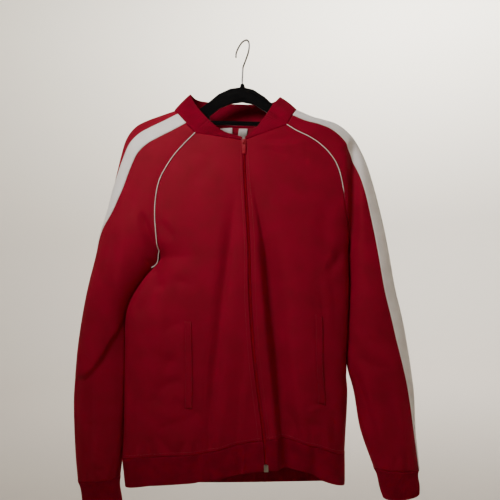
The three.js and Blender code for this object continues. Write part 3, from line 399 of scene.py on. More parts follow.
def rightSleeveFold(p):
    x, y, z = p[..., 0], p[..., 1], p[..., 2]
    under = lookUp(seamColumns, armStep["line"], "x", x)["z"] - z
    step = smooth(under, -4, 11) * (1 - smooth(under, 60, 240))
    p = p.copy()
    p[..., 1] += armStep["depth"] * step * smooth(-6 - y, 0, 18)
    return p


# a valley down beside the raglan seam
def leftSleeveFold(p):
    x, y, z = p[..., 0], p[..., 1], p[..., 2]
    side = x - mix(203, 197, smooth((z + 216) / -224))
    valley = np.exp(-(side / np.where(side < 0, 9, 12)) ** 2)
    strength = smooth((-205 - z) / 40) * smooth((z + 440) / 70) * (y < -4)
    p = p.copy()
    p[..., 1] += 13 * valley * strength
    return p


def sleevePlaces(table):
    last = len(table["rows"]) - 1
    raglan = np.linspace(0, table["underarm"], cloth["raglanRows"] + 1)
    lower = np.linspace(table["underarm"], last, cloth["lowerRows"] + 1)
    return np.concatenate([raglan, lower[1:]])


# The sleeve between two lengths round its section. edges picks them from each row's
# ridge length, whole length and table values.
def sleeveStrip(table, fold, columns, edges):
    t = sleevePlaces(table)
    row = rowsAt(sleeveColumns, table["rows"], t)
    row["turn"] = np.where(t >= table["underarm"], 0, np.minimum(row["turn"], 90))
    samples = fold(sleeveSection(row, np.linspace(0, 1, 241)))
    lengths = runLength(samples, 1)
    start, end = edges(lengths[:, 120], lengths[:, -1], row)
    grid = np.zeros((len(t), columns, 3))
    for r in range(len(t)):
        at = mix(start[r], end[r], np.linspace(0, 1, columns))
        for k in range(3):
            grid[r, :, k] = np.interp(at, lengths[r], samples[r, :, k])
    return grid


def wholeSleeve(ridge, total, row):
    return np.zeros_like(total), total


def sleeveTape(ridge, total, row):
    return ridge - row["tape"] - 30, ridge - row["tape"]


# how far round the seam lies: 0 at the open arch, 1 from the underarm down
def seamTurn(table):
    t = sleevePlaces(table)[:cloth["raglanRows"] + 1]
    turn = np.minimum(rowsAt(sleeveColumns, table["rows"], t)["turn"], 90)
    turn[-1] = 0
    return np.cos(np.radians(turn))


# edge of a body panel: beside the sleeve's seam, then down the side seam
def panelEdge(sleeve, table, side, inward, front):
    rows = cloth["raglanRows"] + 1
    column, nextColumn = (0, 3) if front else (-1, -4)
    p = sleeve[:rows, column]
    turned = seamTurn(table)
    away = p - sleeve[:rows, nextColumn]
    away = away / lengthOf(away)
    flat = np.array([inward, 0, -0.15]) / math.hypot(1, 0.15)
    direction = mix(away, flat, turned[:, None])
    direction = direction / lengthOf(direction)
    upper = p + direction * mix(cloth["seamGap"], cloth["armGap"], turned)[:, None]
    half = cloth["sideHalfGap"] * (-1 if front else 1)
    inner = sleeve[rows - 1:, 0]
    upper[-1, 1] = inner[0, 1] + half
    matched = armContact["matchedRows"]
    rest = np.linspace(inner[matched, 2], side[-1][1], cloth["lowerRows"] - matched + 1)[1:]
    z = np.concatenate([inner[1:matched + 1, 2], rest])
    contact = armContact["right"] if inward > 0 else armContact["left"]
    slope = np.gradient(inner[:, 0]) / np.gradient(inner[:, 2])
    beside = inner[:, 0] + inward * cloth["armGap"] * np.hypot(1, slope)
    free = lookUp(sideColumns, side, "z", z)["x"]
    apart = smooth((contact - z) / armContact["fade"])
    x = mix(np.interp(-z, -inner[:, 2], beside), free, apart)
    y = mix(np.interp(-z, -inner[:, 2], inner[:, 1]), cloth["sideMidY"], apart) + half
    lower = point(x, y, z)
    edge = np.concatenate([upper, lower])
    return edge, np.concatenate([turned, np.ones(len(lower))])


# how far the cloth comes forward between the middle (0) and the edge (1)
def bulge(s, turned):
    k = cloth["sideRoundness"]
    return mix(1 - s * s, np.maximum(1 - s ** k, 0) ** (1 / k), turned)


def foldPush(folds, x, z):
    push = np.zeros(x.shape)
    for line in folds:
        fold = dict(zip(foldColumns, line))
        along = (fold["topZ"] - z) / (fold["topZ"] - fold["bottomZ"])
        side = x - mix(fold["topX"], fold["bottomX"], along)
        near = np.exp(-(side / np.where(side < 0, fold["leftReach"], fold["rightReach"])) ** 2)
        ends = smooth(along / 0.35) * np.where(along > 1, smooth(1 - (along - 1) / 0.4), 1)
        push += fold["depth"] * near * ends
    return push


def rowPlaces():
    return np.arange(cloth["raglanRows"] + cloth["lowerRows"] + 1, dtype=float)


def zipZ(row):
    upper = mix(zipTable[0][2], zipEnd["raglan"], row / cloth["raglanRows"])
    lower = mix(zipEnd["raglan"], zipEnd["hem"], (row - cloth["raglanRows"]) / cloth["lowerRows"])
    return np.where(row <= cloth["raglanRows"], upper, lower)


# points of a front at rows (down) and parts s of the way from the zip to the edge
def frontPoints(edge, folds, outward, row, s):
    points, turned = edge
    places = rowPlaces()
    end = np.stack([np.interp(row, places, points[:, k]) for k in range(3)], -1)[:, None]
    turned = np.interp(row, places, turned)[:, None]
    startZ = zipZ(row)[:, None]
    zipLine = lookUp(zipColumns, zipTable, "z", startZ)
    x = mix(zipLine["x"] + outward * cloth["zipHalfGap"], end[..., 0], s)
    down = (row / places[-1])[:, None]
    seam = lookUp(seamColumns, hemSeamTable, "x", x)["z"]
    bottom = mix(zipEnd["hem"], points[-1, 2], s)
    z = mix(startZ, end[..., 2], s) + (seam - bottom) * down * down * (1 - s ** 8)
    push = foldPush(folds, x, z) * (1 - s ** 6)
    y = mix(end[..., 1], zipLine["y"], bulge(s, turned)) + push
    return point(x, y, z)


def panelColumns(count):
    return np.linspace(0, 1, count)[None, :]


backDepth = {"neck": 37, "chest": 31, "hem": 27, "neckDrop": 10, "sag": 8}


def backPoints(fromEdge, toEdge):
    row = rowPlaces()
    a, b = fromEdge[0][:, None], toEdge[0][:, None]
    turned = ((fromEdge[1] + toEdge[1]) / 2)[:, None]
    down = (row / row[-1])[:, None]
    upper = mix(backDepth["neck"], backDepth["chest"], smooth(row / cloth["raglanRows"]))
    lower = mix(backDepth["chest"], backDepth["hem"], (row - cloth["raglanRows"]) / cloth["lowerRows"])
    deep = np.where(row < cloth["raglanRows"], upper, lower)[:, None]
    even = panelColumns(cloth["backColumns"])
    s = mix(even, 0.5 - 0.5 * np.cos(np.pi * even), 0.75)
    out = np.abs(2 * s - 1)
    drop = backDepth["neckDrop"] * (1 - out * out) * np.maximum(0, 1 - down * 3) ** 2
    sag = backDepth["sag"] * np.sin(np.pi * s) * down * down
    y = mix(mix(a[..., 1], b[..., 1], s), deep, bulge(out, turned))
    return point(mix(a[..., 0], b[..., 0], s), y, mix(a[..., 2], b[..., 2], s) - drop - sag)


# pushes a grid in along its normals
def pushed(grid, sign, push, sewnFrom=None):
    return grid - gridNormals(grid, sign, sewnFrom) * push[..., None]


def hexLinear(code):
    parts = [int(code[k:k + 2], 16) / 255 for k in (0, 2, 4)]
    return [c / 12.92 if c <= 0.04045 else ((c + 0.055) / 1.055) ** 2.4 for c in parts] + [1.0]


# one node with its settings, and links into it
def addNode(tree, kind, values=None, links=None, **settings):
    node = tree.nodes.new(kind)
    for name, value in settings.items():
        setattr(node, name, value)
    for name, value in (values or {}).items():
        node.inputs[name].default_value = value
    for name, source in (links or {}).items():
        tree.links.new(source, node.inputs[name])
    return node


def newMaterial(name, look):
    material = bpy.data.materials.new(name)
    material.use_nodes = True
    tree = material.node_tree
    shader = tree.nodes["Principled BSDF"]
    for socket, value in look["shader"].items():
        shader.inputs[socket].default_value = value
    return material, tree, shader


# the piece's two shades, between two values of a source
def twoShades(tree, shader, source, places, look):
    shade = addNode(tree, "ShaderNodeValToRGB", links={"Fac": source})
    for element, place, code in zip(shade.color_ramp.elements, places, (look["dark"], look["light"])):
        element.position = place
        element.color = hexLinear(code)
    tree.links.new(shade.outputs["Color"], shader.inputs["Base Color"])


def raised(tree, shader, height, look):
    bump = addNode(tree, "ShaderNodeBump", {"Strength": look["bump"], "Distance": look["depth"] * mm},
                   {"Height": height})
    tree.links.new(bump.outputs["Normal"], shader.inputs["Normal"])


# Wave bands repeat every pi / 10 of their own units, so this gives bands that are
# spacing millimetres apart on coordinates in metres
def bandScale(spacing):
    return math.pi / 10 / (spacing * mm)


# Cloth: two close shades mottled over the piece, and wales and courses raised in bump
# on the piece's own cut map, u across and v down
def clothMaterial(name, look):
    material, tree, shader = newMaterial(name, look)
    place = addNode(tree, "ShaderNodeTexCoord")
    mottle = addNode(tree, "ShaderNodeTexNoise", {"Scale": 1 / (look["mottle"] * mm), "Detail": 3.0},
                     {"Vector": place.outputs["Object"]})
    yarn = addNode(tree, "ShaderNodeTexNoise", {"Scale": 1 / (look["yarn"] * mm), "Detail": 2.0},
                   {"Vector": place.outputs["UV"]})
    both = addNode(tree, "ShaderNodeMath", {1: look["yarnShare"]},
                   {0: yarn.outputs["Fac"], 2: mottle.outputs["Fac"]}, operation="MULTIPLY_ADD")
    half = look["yarnShare"] / 2
    twoShades(tree, shader, both.outputs[0], (0.35 + half, 0.68 + half), look)
    wales = addNode(tree, "ShaderNodeTexWave", {"Scale": bandScale(look["wale"]), "Distortion": 0.4},
                    {"Vector": place.outputs["UV"]}, bands_direction="X")
    courses = addNode(tree, "ShaderNodeTexWave", {"Scale": bandScale(look["course"]), "Distortion": 0.6},
                      {"Vector": place.outputs["UV"]}, bands_direction="Y")
    weave = addNode(tree, "ShaderNodeMath", {2: 0.0}, {0: wales.outputs["Fac"], 1: courses.outputs["Fac"]},
                    operation="MULTIPLY_ADD")
    raised(tree, shader, weave.outputs[0], look)
    return material


# Hard finishes: a fine grain in the roughness and a very low bump
def hardMaterial(name, look):
    material, tree, shader = newMaterial(name, look)
    place = addNode(tree, "ShaderNodeTexCoord")
    grain = addNode(tree, "ShaderNodeTexNoise", {"Scale": 1 / (look["grain"] * mm), "Detail": 4.0},
                    {"Vector": place.outputs["Object"]})
    rough = addNode(tree, "ShaderNodeMapRange", {"To Min": look["rough"][0], "To Max": look["rough"][1]},
                    {"Value": grain.outputs["Fac"]})
    tree.links.new(rough.outputs["Result"], shader.inputs["Roughness"])
    twoShades(tree, shader, grain.outputs["Fac"], (0.3, 0.7), look)
    raised(tree, shader, grain.outputs["Fac"], look)
    return material


# polyester tricot: a smooth warp knit with a soft satin sheen along its creases. Its
# wales are about 0.6 mm apart and drawn at 1.3 mm, so that they show close up.
tricot = clothMaterial("polyesterTricot", {
    "dark": "880623", "light": "940628", "mottle": 45, "yarn": 1.6, "yarnShare": 0.3,
    "wale": 1.3, "course": 1.1, "bump": 0.25, "depth": 0.2,
    "shader": {"Roughness": 0.72, "Specular IOR Level": 0.14, "Sheen Weight": 0.12,
               "Sheen Roughness": 0.45, "Sheen Tint": hexLinear("E01038")}})
# polyester and elastane rib: duller and a little darker, its ribs are in the mesh and
# its stitches here, each about 1.2 mm
ribKnit = clothMaterial("ribKnit", {
    "dark": "7A001E", "light": "8A0024", "mottle": 25, "yarn": 1.2, "yarnShare": 0.4,
    "wale": 1.5, "course": 1.2, "bump": 0.35, "depth": 0.3,
    "shader": {"Roughness": 0.8, "Specular IOR Level": 0.12, "Sheen Weight": 0.1,
               "Sheen Roughness": 0.5, "Sheen Tint": hexLinear("D01034")}})
# woven polyester tape: off-white, slightly shiny, with a fine cross rib
wovenTape = clothMaterial("wovenTape", {
    "dark": "F6EEED", "light": "FFFBFA", "mottle": 30, "yarn": 1.0, "yarnShare": 0.4,
    "wale": 1.0, "course": 1.4, "bump": 0.35, "depth": 0.3,
    "shader": {"Roughness": 0.5, "Specular IOR Level": 0.45, "Sheen Weight": 0.15,
               "Sheen Roughness": 0.4}})
# satin bias piping over a cord: brighter than the tape, with a soft highlight
satinPiping = clothMaterial("satinPiping", {
    "dark": "F6EEEC", "light": "FFFAF8", "mottle": 12, "yarn": 0.9, "yarnShare": 0.3,
    "wale": 0.9, "course": 0.9, "bump": 0.25, "depth": 0.15,
    "shader": {"Roughness": 0.4, "Specular IOR Level": 0.5, "Sheen Weight": 0.1}})
# sewing thread: twisted polyester, a little glossier than the cloth
redThread = clothMaterial("redThread", {
    "dark": "860022", "light": "980028", "mottle": 3, "yarn": 0.6, "yarnShare": 0.3,
    "wale": 0.5, "course": 0.5, "bump": 0.2, "depth": 0.1,
    "shader": {"Roughness": 0.42, "Specular IOR Level": 0.5}})
whiteThread = clothMaterial("whiteThread", {
    "dark": "D6CCC9", "light": "EDE7E4", "mottle": 3, "yarn": 0.6, "yarnShare": 0.3,
    "wale": 0.5, "course": 0.5, "bump": 0.2, "depth": 0.1,
    "shader": {"Roughness": 0.42, "Specular IOR Level": 0.5}})
# twill zip tape, matt; its red is lighter than the cloth's, painted light that makes up for the shadow it lies
# in beside the coil
zipTwill = clothMaterial("zipTwill", {
    "dark": "9C0024", "light": "AE002A", "mottle": 8, "yarn": 0.8, "yarnShare": 0.4,
    "wale": 0.9, "course": 0.9, "bump": 0.4, "depth": 0.25,
    "shader": {"Roughness": 0.75, "Specular IOR Level": 0.15}})
# satin label cloth: pale and slightly shiny
labelSatin = clothMaterial("labelSatin", {
    "dark": "CFC4C1", "light": "E4DBD8", "mottle": 8, "yarn": 0.8, "yarnShare": 0.3,
    "wale": 0.8, "course": 0.7, "bump": 0.2, "depth": 0.12,
    "shader": {"Roughness": 0.38, "Specular IOR Level": 0.5}})
# flocked velvet: nearly black, with a pale bloom at grazing angles from its nap
flockVelvet = hardMaterial("flockVelvet", {
    "dark": "030304", "light": "0C0B0D", "grain": 0.7, "rough": (0.85, 1.0), "bump": 0.5, "depth": 0.3,
    "shader": {"Specular IOR Level": 0.15, "Sheen Weight": 0.4, "Sheen Roughness": 0.35}})
# nylon zip coil: moulded, smooth and a little glossy; its red is lighter than the cloth's, painted light that
# makes up for the shade of the groove it lies in
nylonCoil = hardMaterial("nylonCoil", {
    "dark": "A80026", "light": "C0002E", "grain": 1.5, "rough": (0.45, 0.6), "bump": 0.1, "depth": 0.05,
    "shader": {"Specular IOR Level": 0.25}})
# enamelled zinc slider and tab: red enamel over a die casting, with a soft gloss
enamelZinc = hardMaterial("enamelZinc", {
    "dark": "94001E", "light": "A80026", "grain": 2.0, "rough": (0.38, 0.52), "bump": 0.12, "depth": 0.06,
    "shader": {"Specular IOR Level": 0.3, "Coat Weight": 0.1, "Coat Roughness": 0.3}})
# bare nickelled metal of the box at the zip's foot
nickelMetal = hardMaterial("nickelMetal", {
    "dark": "9C958A", "light": "C8C2B6", "grain": 1.2, "rough": (0.28, 0.42), "bump": 0.1, "depth": 0.05,
    "shader": {"Metallic": 1.0}})
# chromed steel wire: a mirror with a faint drawing grain
chromeWire = hardMaterial("chromeWire", {
    "dark": "7C7C7E", "light": "96969A", "grain": 2.5, "rough": (0.16, 0.26), "bump": 0.05, "depth": 0.03,
    "shader": {"Metallic": 1.0}})
print("materials made")


# Creases, listed one by one: the line as seen from the front (or through from the front, for the
# back), depth in (+) or out (-), reach to the left and right of it, and a lip beside
rightFrontCreases = [
    ([(-204, -440), (-192, -462), (-180, -500)], 6.5, 14, 11, 0.0),
    ([(-214, -466), (-196, -482), (-168, -490)], 2.6, 12, 9, 0.1),
    ([(-158, -464), (-143, -476), (-126, -483)], 1.8, 11, 9, 0.1),
    ([(-24, -286), (-50, -459), (-68, -574), (-84, -684), (-97, -790)], 3.2, 9, 5, 0.3),
    ([(-19, -590), (-27, -665), (-44, -785)], 2.2, 14, 5, 0.2),
    ([(-188, -580), (-160, -564), (-130, -556)], 2.4, 12, 9, 0.15),
    ([(-226, -616), (-192, -622), (-150, -640)], 2.0, 14, 9, 0.15),
    ([(-204, -694), (-170, -676), (-134, -664)], 4, 14, 8, 0.1),
    ([(-228, -712), (-196, -706), (-160, -722)], 1.8, 10, 12, 0.15),
    ([(-214, -776), (-172, -756), (-112, -738)], 5, 17, 9, 0.1),
    ([(-206, -770), (-186, -792), (-160, -816)], 5, 12, 9, 0.2),
    ([(-140, -784), (-156, -816)], 4, 8, 8, 0.4),
    ([(-164, -700), (-138, -722), (-104, -744)], 3.4, 12, 9, 0.1),
    ([(-181, -355), (-166, -375), (-150, -399)], 3.6, 12, 8, 0.4),
    ([(-176, -488), (-140, -480), (-100, -490)], 1.6, 12, 9, 0.15),
    ([(-184, -425), (-168, -470), (-161, -520), (-164, -600)], 3.4, 16, 14, 0.1),
    ([(-216, -468), (-200, -508), (-196, -575)], 2.6, 12, 13, 0.15),
    ([(-236, -508), (-216, -560), (-209, -640)], 3.5, 10, 14, 0.3),
    ([(-115, -300), (-108, -360), (-112, -430)], 1.8, 22, 18, 0.2),
    ([(-60, -230), (-86, -262), (-120, -300)], 1.6, 14, 12, 0.3),
    ([(-241, -786), (-244, -822)], 3, 7, 8, 0.4),
    ([(-214, -780), (-209, -817)], 3.4, 9, 6, 0.4),
    ([(-92, -772), (-90, -806)], 3.4, 7, 7, 0.4),
    ([(-62, -768), (-66, -800)], 2.2, 6, 6, 0.4),
    ([(-118, -780), (-121, -812)], 2.6, 6, 8, 0.4),
    ([(-232, -680), (-240, -740), (-236, -800)], 2.6, 10, 12, 0.3),
    ([(-100, -640), (-112, -700), (-108, -760)], 2.2, 12, 9, 0.3),
    ([(-117, -219), (-96, -229), (-64, -243)], 1.2, 9, 7, 0.2),
]
leftFrontCreases = [
    ([(2, -262), (15, -345), (26, -425), (30, -526), (37, -602), (45, -771), (46, -812)], 11, 3.0, 24, 0.0),
    ([(58, -728), (71, -760), (80, -800)], 4.5, 7, 9, 0.4),
    ([(90, -726), (107, -720), (124, -719)], 2.6, 5, 7, 0.5),
    ([(22, -207), (67, -209), (113, -212)], 2.4, 6, 8, 0.4),
    ([(14, -226), (44, -232), (84, -246)], 1.8, 8, 6, 0.4),
    ([(120, -470), (132, -540), (130, -610)], 2.6, 16, 12, 0.3),
    ([(150, -470), (158, -530), (156, -600)], 3.4, 9, 14, 0.3),
    ([(66, -330), (88, -420), (92, -520)], 2.4, 22, 26, 0.2),
    ([(150, -330), (140, -380), (144, -430)], 2.6, 12, 12, 0.3),
    ([(176, -420), (162, -452), (140, -478)], 3.4, 8, 9, 0.4),
    ([(88, -620), (96, -690), (92, -750)], 2.6, 12, 10, 0.3),
    ([(148, -730), (144, -780), (150, -812)], 3, 8, 9, 0.4),
    ([(62, -756), (60, -786)], 3, 6, 6, 0.4),
    ([(120, -770), (124, -806)], 3, 7, 6, 0.4),
    ([(20, -740), (24, -784)], 2.4, 7, 6, 0.3),
]
rightSleeveCreases = [
    ([(-218, -332), (-204, -375), (-188, -424)], 8, 9, 6, 0.3),
    ([(-268, -360), (-272, -436), (-278, -505)], 3.4, 10, 8, 0.4),
    ([(-234, -296), (-238, -352)], 2.6, 12, 9, 0.4),
    ([(-330, -640), (-335, -770), (-341, -878)], 4.6, 14, 7, 0.2),
    ([(-364, -756), (-332, -758), (-306, -764)], 2.2, 7, 5, 0.5),
    ([(-220, -424), (-200, -450), (-180, -478)], 5, 9, 7, 0.4),
    ([(-219, -458), (-208, -470), (-202, -482)], 4, 7, 7, 0.4),
    ([(-298, -470), (-270, -510), (-252, -560)], 4, 12, 12, 0.3),
    ([(-312, -520), (-290, -570), (-278, -640)], 2.6, 14, 12, 0.3),
    ([(-300, -700), (-296, -770), (-300, -850)], 2.6, 10, 12, 0.3),
    ([(-352, -600), (-338, -630), (-318, -650)], 3.4, 8, 10, 0.4),
    ([(-200, -250), (-222, -300), (-228, -350)], 2, 16, 12, 0.3),
    ([(-342, -838), (-322, -846), (-300, -842)], 2.4, 6, 6, 0.5),
    ([(-316, -868), (-312, -836)], 2.6, 6, 6, 0.4),
    ([(-352, -872), (-350, -842)], 2.6, 6, 6, 0.4),
]
leftSleeveCreases = [
    ([(176, -628), (200, -702), (218, -769), (223, -830)], 5, 14, 8, 0.3),
    ([(206, -258), (200, -332), (195, -429), (190, -540)], 3, 5, 9, 0.2),
    ([(232, -330), (236, -420), (230, -520)], 2, 18, 12, 0.3),
    ([(258, -470), (262, -560), (256, -640)], 2.6, 14, 16, 0.3),
    ([(196, -560), (222, -600), (262, -622)], 2.8, 9, 12, 0.4),
    ([(190, -628), (222, -652), (270, -660)], 3, 9, 10, 0.4),
    ([(238, -690), (258, -740), (266, -810)], 3, 12, 12, 0.3),
    ([(270, -676), (286, -720), (284, -790)], 2.6, 10, 12, 0.3),
    ([(228, -846), (236, -816)], 2.8, 6, 6, 0.4),
    ([(258, -850), (262, -816)], 2.6, 7, 6, 0.4),
    ([(284, -850), (282, -818)], 2.4, 6, 6, 0.4),
    ([(214, -216), (196, -232), (176, -240)], 2, 6, 8, 0.4),
]
# the hidden sides, made up to match: drag lines from the armholes, the hang of the
# middle of the back, and gathers over the hem
backCreases = [
    ([(-176, -420), (-130, -470), (-104, -540)], 4, 12, 14, 0.3),
    ([(170, -420), (120, -480), (96, -560)], 4, 14, 12, 0.3),
    ([(-60, -300), (-72, -450), (-66, -620)], 3, 22, 16, 0.2),
    ([(30, -280), (42, -460), (34, -660)], 3.4, 18, 24, 0.2),
    ([(-150, -560), (-158, -670), (-146, -790)], 3.6, 14, 12, 0.3),
    ([(100, -600), (112, -700), (106, -800)], 3.4, 14, 14, 0.3),
    ([(-10, -640), (-18, -740), (-12, -810)], 3, 12, 16, 0.3),
    ([(-220, -600), (-228, -700), (-222, -800)], 3, 12, 10, 0.3),
    ([(-200, -784), (-204, -826)], 3, 7, 6, 0.4),
    ([(-110, -778), (-106, -822)], 3.2, 6, 7, 0.4),
    ([(-50, -784), (-54, -820)], 2.6, 6, 6, 0.4),
    ([(60, -780), (64, -818)], 3, 7, 6, 0.4),
    ([(140, -784), (136, -820)], 2.6, 6, 6, 0.4),
    ([(-80, -170), (-20, -190), (50, -182)], 2.4, 10, 9, 0.4),
]
rightSleeveBackCreases = [
    ([(-232, -300), (-250, -380), (-248, -450)], 3.4, 14, 12, 0.3),
    ([(-300, -480), (-274, -530), (-262, -590)], 4, 12, 12, 0.3),
    ([(-330, -560), (-300, -590), (-272, -604)], 3.4, 9, 10, 0.4),
    ([(-350, -640), (-318, -660), (-282, -664)], 3, 9, 9, 0.4),
    ([(-322, -700), (-318, -780), (-322, -860)], 3.4, 12, 10, 0.3),
]
leftSleeveBackCreases = [
    ([(214, -300), (226, -400), (222, -480)], 3.4, 12, 14, 0.3),
    ([(200, -560), (240, -590), (280, -596)], 3.4, 10, 9, 0.4),
    ([(190, -640), (236, -662), (284, -650)], 3, 9, 10, 0.4),
    ([(240, -700), (252, -780), (258, -840)], 3.2, 12, 10, 0.3),
]


# creases fade in under the top seam
def endFade(grid):
    return smooth(np.linspace(0, 1, len(grid)) / 0.03)[:, None]


# a sleeve's creases change over from the front to the back within 16 mm of its side
def sleevePush(grid, front, back):
    behind = (grid[..., 1] + 5) / 16
    return (creasePush(grid, front) * smooth(-behind) + creasePush(grid, back) * smooth(behind)) * endFade(grid)


def sleeveCreased(grid, sign, front, back):
    return pushed(grid, sign, sleevePush(grid, front, back), cloth["raglanRows"])


def frontCreased(grid, sign, creases, s):
    hold = smooth(s / 0.05) * (1 - smooth((s - 0.94) / 0.06))
    return pushed(grid, sign, creasePush(grid, creases) * hold * endFade(grid))


rightSleeve = sleeveStrip(rightSleeveTable, rightSleeveFold, cloth["sleeveColumns"], wholeSleeve)
leftSleeve = sleeveStrip(leftSleeveTable, leftSleeveFold, cloth["sleeveColumns"], wholeSleeve)
rightEdge = panelEdge(rightSleeve, rightSleeveTable, rightSideTable, 1, True)
leftEdge = panelEdge(leftSleeve, leftSleeveTable, leftSideTable, -1, True)
rightBackEdge = panelEdge(rightSleeve, rightSleeveTable, rightSideTable, 1, False)
leftBackEdge = panelEdge(leftSleeve, leftSleeveTable, leftSideTable, -1, False)
s = panelColumns(cloth["frontColumns"])
frontRight = frontPoints(rightEdge, rightFolds, -1, rowPlaces(), s)
frontLeft = frontPoints(leftEdge, leftFolds, 1, rowPlaces(), s)
back = backPoints(rightBackEdge, leftBackEdge)
backPart = panelColumns(cloth["backColumns"])
backHold = smooth(np.minimum(backPart, 1 - backPart) / 0.06)

rightBody = frontCreased(frontRight, 1, rightFrontCreases, s)
leftBody = frontCreased(frontLeft, -1, leftFrontCreases, s)
rightArm = sleeveCreased(rightSleeve, 1, rightSleeveCreases, rightSleeveBackCreases)
leftArm = sleeveCreased(leftSleeve, -1, leftSleeveCreases, leftSleeveBackCreases)
backBody = pushed(back, 1, creasePush(back, backCreases) * backHold * endFade(back))

shell = cloth["shell"]
raglan = cloth["raglanRows"]
panels = {
    "front_right": wallPiece("frontRightShell", rightBody, shell, 1, tricot),
    "front_left": wallPiece("frontLeftShell", leftBody, shell, -1, tricot),
    "back": wallPiece("backShell", backBody, shell, 1, tricot),
    "sleeve_right": wallPiece("sleeveRightShell", rightArm, shell, 1, tricot, raglan),
    "sleeve_left": wallPiece("sleeveLeftShell", leftArm, shell, -1, tricot, raglan),
}
for node, piece in panels.items():
    dress(piece, node)
print("cloth panels made")


# Rib bands: ribs run down, a band's ring of points is spaced evenly by length
rib = {"wall": 2.0, "pitch": 3.0, "columns": 6, "height": 0.7, "seamGap": 0.3}
# rows down a band; the free edge is the fold of a double rib, so it is rounded off
ribRows = np.array([0, 0.06, 0.14, 0.22, 0.32, 0.42, 0.52, 0.62, 0.72, 0.82, 0.9, 0.955, 0.98, 0.993, 1.0])
ribFoldedWall = np.array([1] * 11 + [0.98, 0.86, 0.62, 0.25])


def evenly(low, others, count):
    lengths = runLength(low, 0)
    at = np.linspace(0, lengths[-1], count)
    return [np.stack([np.interp(at, lengths, line[:, k]) for k in range(3)], -1) for line in [low, *others]]


def ribCount(line):
    length = np.linalg.norm(np.diff(line, axis=0), axis=1).sum()
    return int(round(length / rib["pitch"])) * rib["columns"] + 1


def ribBand(name, grid, sign, node, sewnFrom=None):
    phase = 2 * np.pi * np.arange(grid.shape[1]) / rib["columns"]
    ridge = rib["height"] * (0.5 - 0.5 * np.cos(phase)) ** 0.7
    ends = np.minimum(smooth(np.linspace(0, 1, len(ribRows)) / 0.08) * 0.8 + 0.2, 1)
    folded = ribFoldedWall[:, None]
    relief = ends[:, None] * ridge[None, :] * folded
    dress(wallPiece(name, grid, rib["wall"] * folded, sign, ribKnit, sewnFrom, relief), node)


# collar: from the neck seam up to its free edge
collarParts = [0, 0.036, 0.19, 0.31, 0.43, 0.55, 0.66, 0.762, 0.857, 0.932, 0.98, 1]


def collarLines():
    columns = cloth["sleeveColumns"]
    half = columns // 2 - 4
    places, seam = [], []

    def collect(points, start, end, place=None):
        seam.append(points)
        places.append(np.linspace(start, end, len(points)) if place is None else place)

    frontPlace = np.interp(s[0], collarParts, np.linspace(0, 1, len(collarParts)))
    collect(rightBody[0], 0, 1, frontPlace)
    collect(rightArm[0, 4:half], 1.03, 2)
    collect(rightArm[0, half:-4], 2.02, 2.97)
    collect(backBody[0], 3, 5)
    collect(leftArm[0, half:-4][::-1], 5.03, 5.98)
    collect(leftArm[0, 4:half][::-1], 6, 6.97)
    collect(leftBody[0][::-1], 7, 8, 8 - frontPlace[::-1])
    seam, places = np.concatenate(seam), np.concatenate(places)
    edge = rowsAt(collarColumns, collarTable, np.interp(places, [row[0] for row in collarTable],
                                                        np.arange(len(collarTable))))
    top = point(edge["x"], edge["y"], edge["z"])
    top[0, 0], top[-1, 0] = seam[0, 0], seam[-1, 0]
    way = (top - seam) / lengthOf(top - seam)
    return seam + way * rib["seamGap"], top


collarLow, collarTop = collarLines()
collarLow, collarTop = evenly(collarLow, [collarTop], ribCount(collarLow))
collarOut = gridNormals(np.stack([collarLow, collarTop]), -1)[0]
collarBow = 4 * 1.6 * (ribRows * (1 - ribRows))[:, None, None]
collarGrid = mix(collarLow[None], collarTop[None], ribRows[:, None, None]) + collarOut[None] * collarBow
ribBand("collarRib", collarGrid, -1, "collar")

# hem band: the panels' lower edges all round, down to the foot
hemBand = {"height": 60, "narrower": 0.985, "nearer": 0.96, "backFoot": -884, "backSag": 10}


def hemLines():
    ring = np.concatenate([frontRight[-1], back[-1][1:-1], frontLeft[-1][::-1]])
    top = ring - [0, 0, rib["seamGap"]]
    backFrom = len(frontRight[-1]) - 1
    backCount = len(back[-1]) - 1
    place = np.arange(len(ring))
    inBack = (place > backFrom) & (place < backFrom + backCount)
    centre = (ring[0, 0] + ring[-1, 0]) / 2
    x = centre + (ring[:, 0] - centre) * hemBand["narrower"]
    x[0], x[-1] = ring[0, 0], ring[-1, 0]
    frontZ = lookUp(seamColumns, hemFootTable, "x", x)["z"]
    across = np.clip((place - backFrom) / backCount, 0, 1)
    backZ = hemBand["backFoot"] - hemBand["backSag"] * np.sin(np.pi * across)
    foot = point(x, ring[:, 1] * hemBand["nearer"], np.where(inBack, backZ, frontZ))
    return top, foot


hemTop, hemFoot = hemLines()
hemTop, hemFoot = evenly(hemTop, [hemFoot], ribCount(hemTop))
hemGrid = mix(hemTop[None], hemFoot[None], ribRows[:, None, None])
# the fronts' folds run on down the band's front
hemCreases = [
    ([(-32, -770), (-36, -890)], 5, 9, 3, 0.3), ([(47, -760), (49, -880)], 7, 3, 16, 0.0),
    ([(-118, -780), (-112, -910)], 4, 10, 8, 0.2), ([(104, -770), (100, -890)], 4, 8, 9, 0.2),
]
hemGrid[..., 1] += creasePush(hemGrid, hemCreases) * (hemGrid[..., 1] < -10)
for column, outward in ((0, -1), (-1, 1)):
    shift = lookUp(zipColumns, zipTable, "z", hemGrid[:, column, 2])["x"] + outward * cloth["zipHalfGap"]
    hemGrid[:, column, 0] = shift
ribBand("hemRib", hemGrid, -1, "hem_band")

# cuffs: rib tubes that draw the sleeve ends in
rightCuff = {"innerX": -283, "innerZ": -939, "outerX": -356, "outerZ": -945, "front": 21, "back": 19, "mid": -6}
leftCuff = {"innerX": 237, "innerZ": -911, "outerX": 304, "outerZ": -904, "front": 21, "back": 19, "mid": -10}

# how deep the sleeves are where the cuffs start
sleeveEnd = {"front": 25, "back": 24}


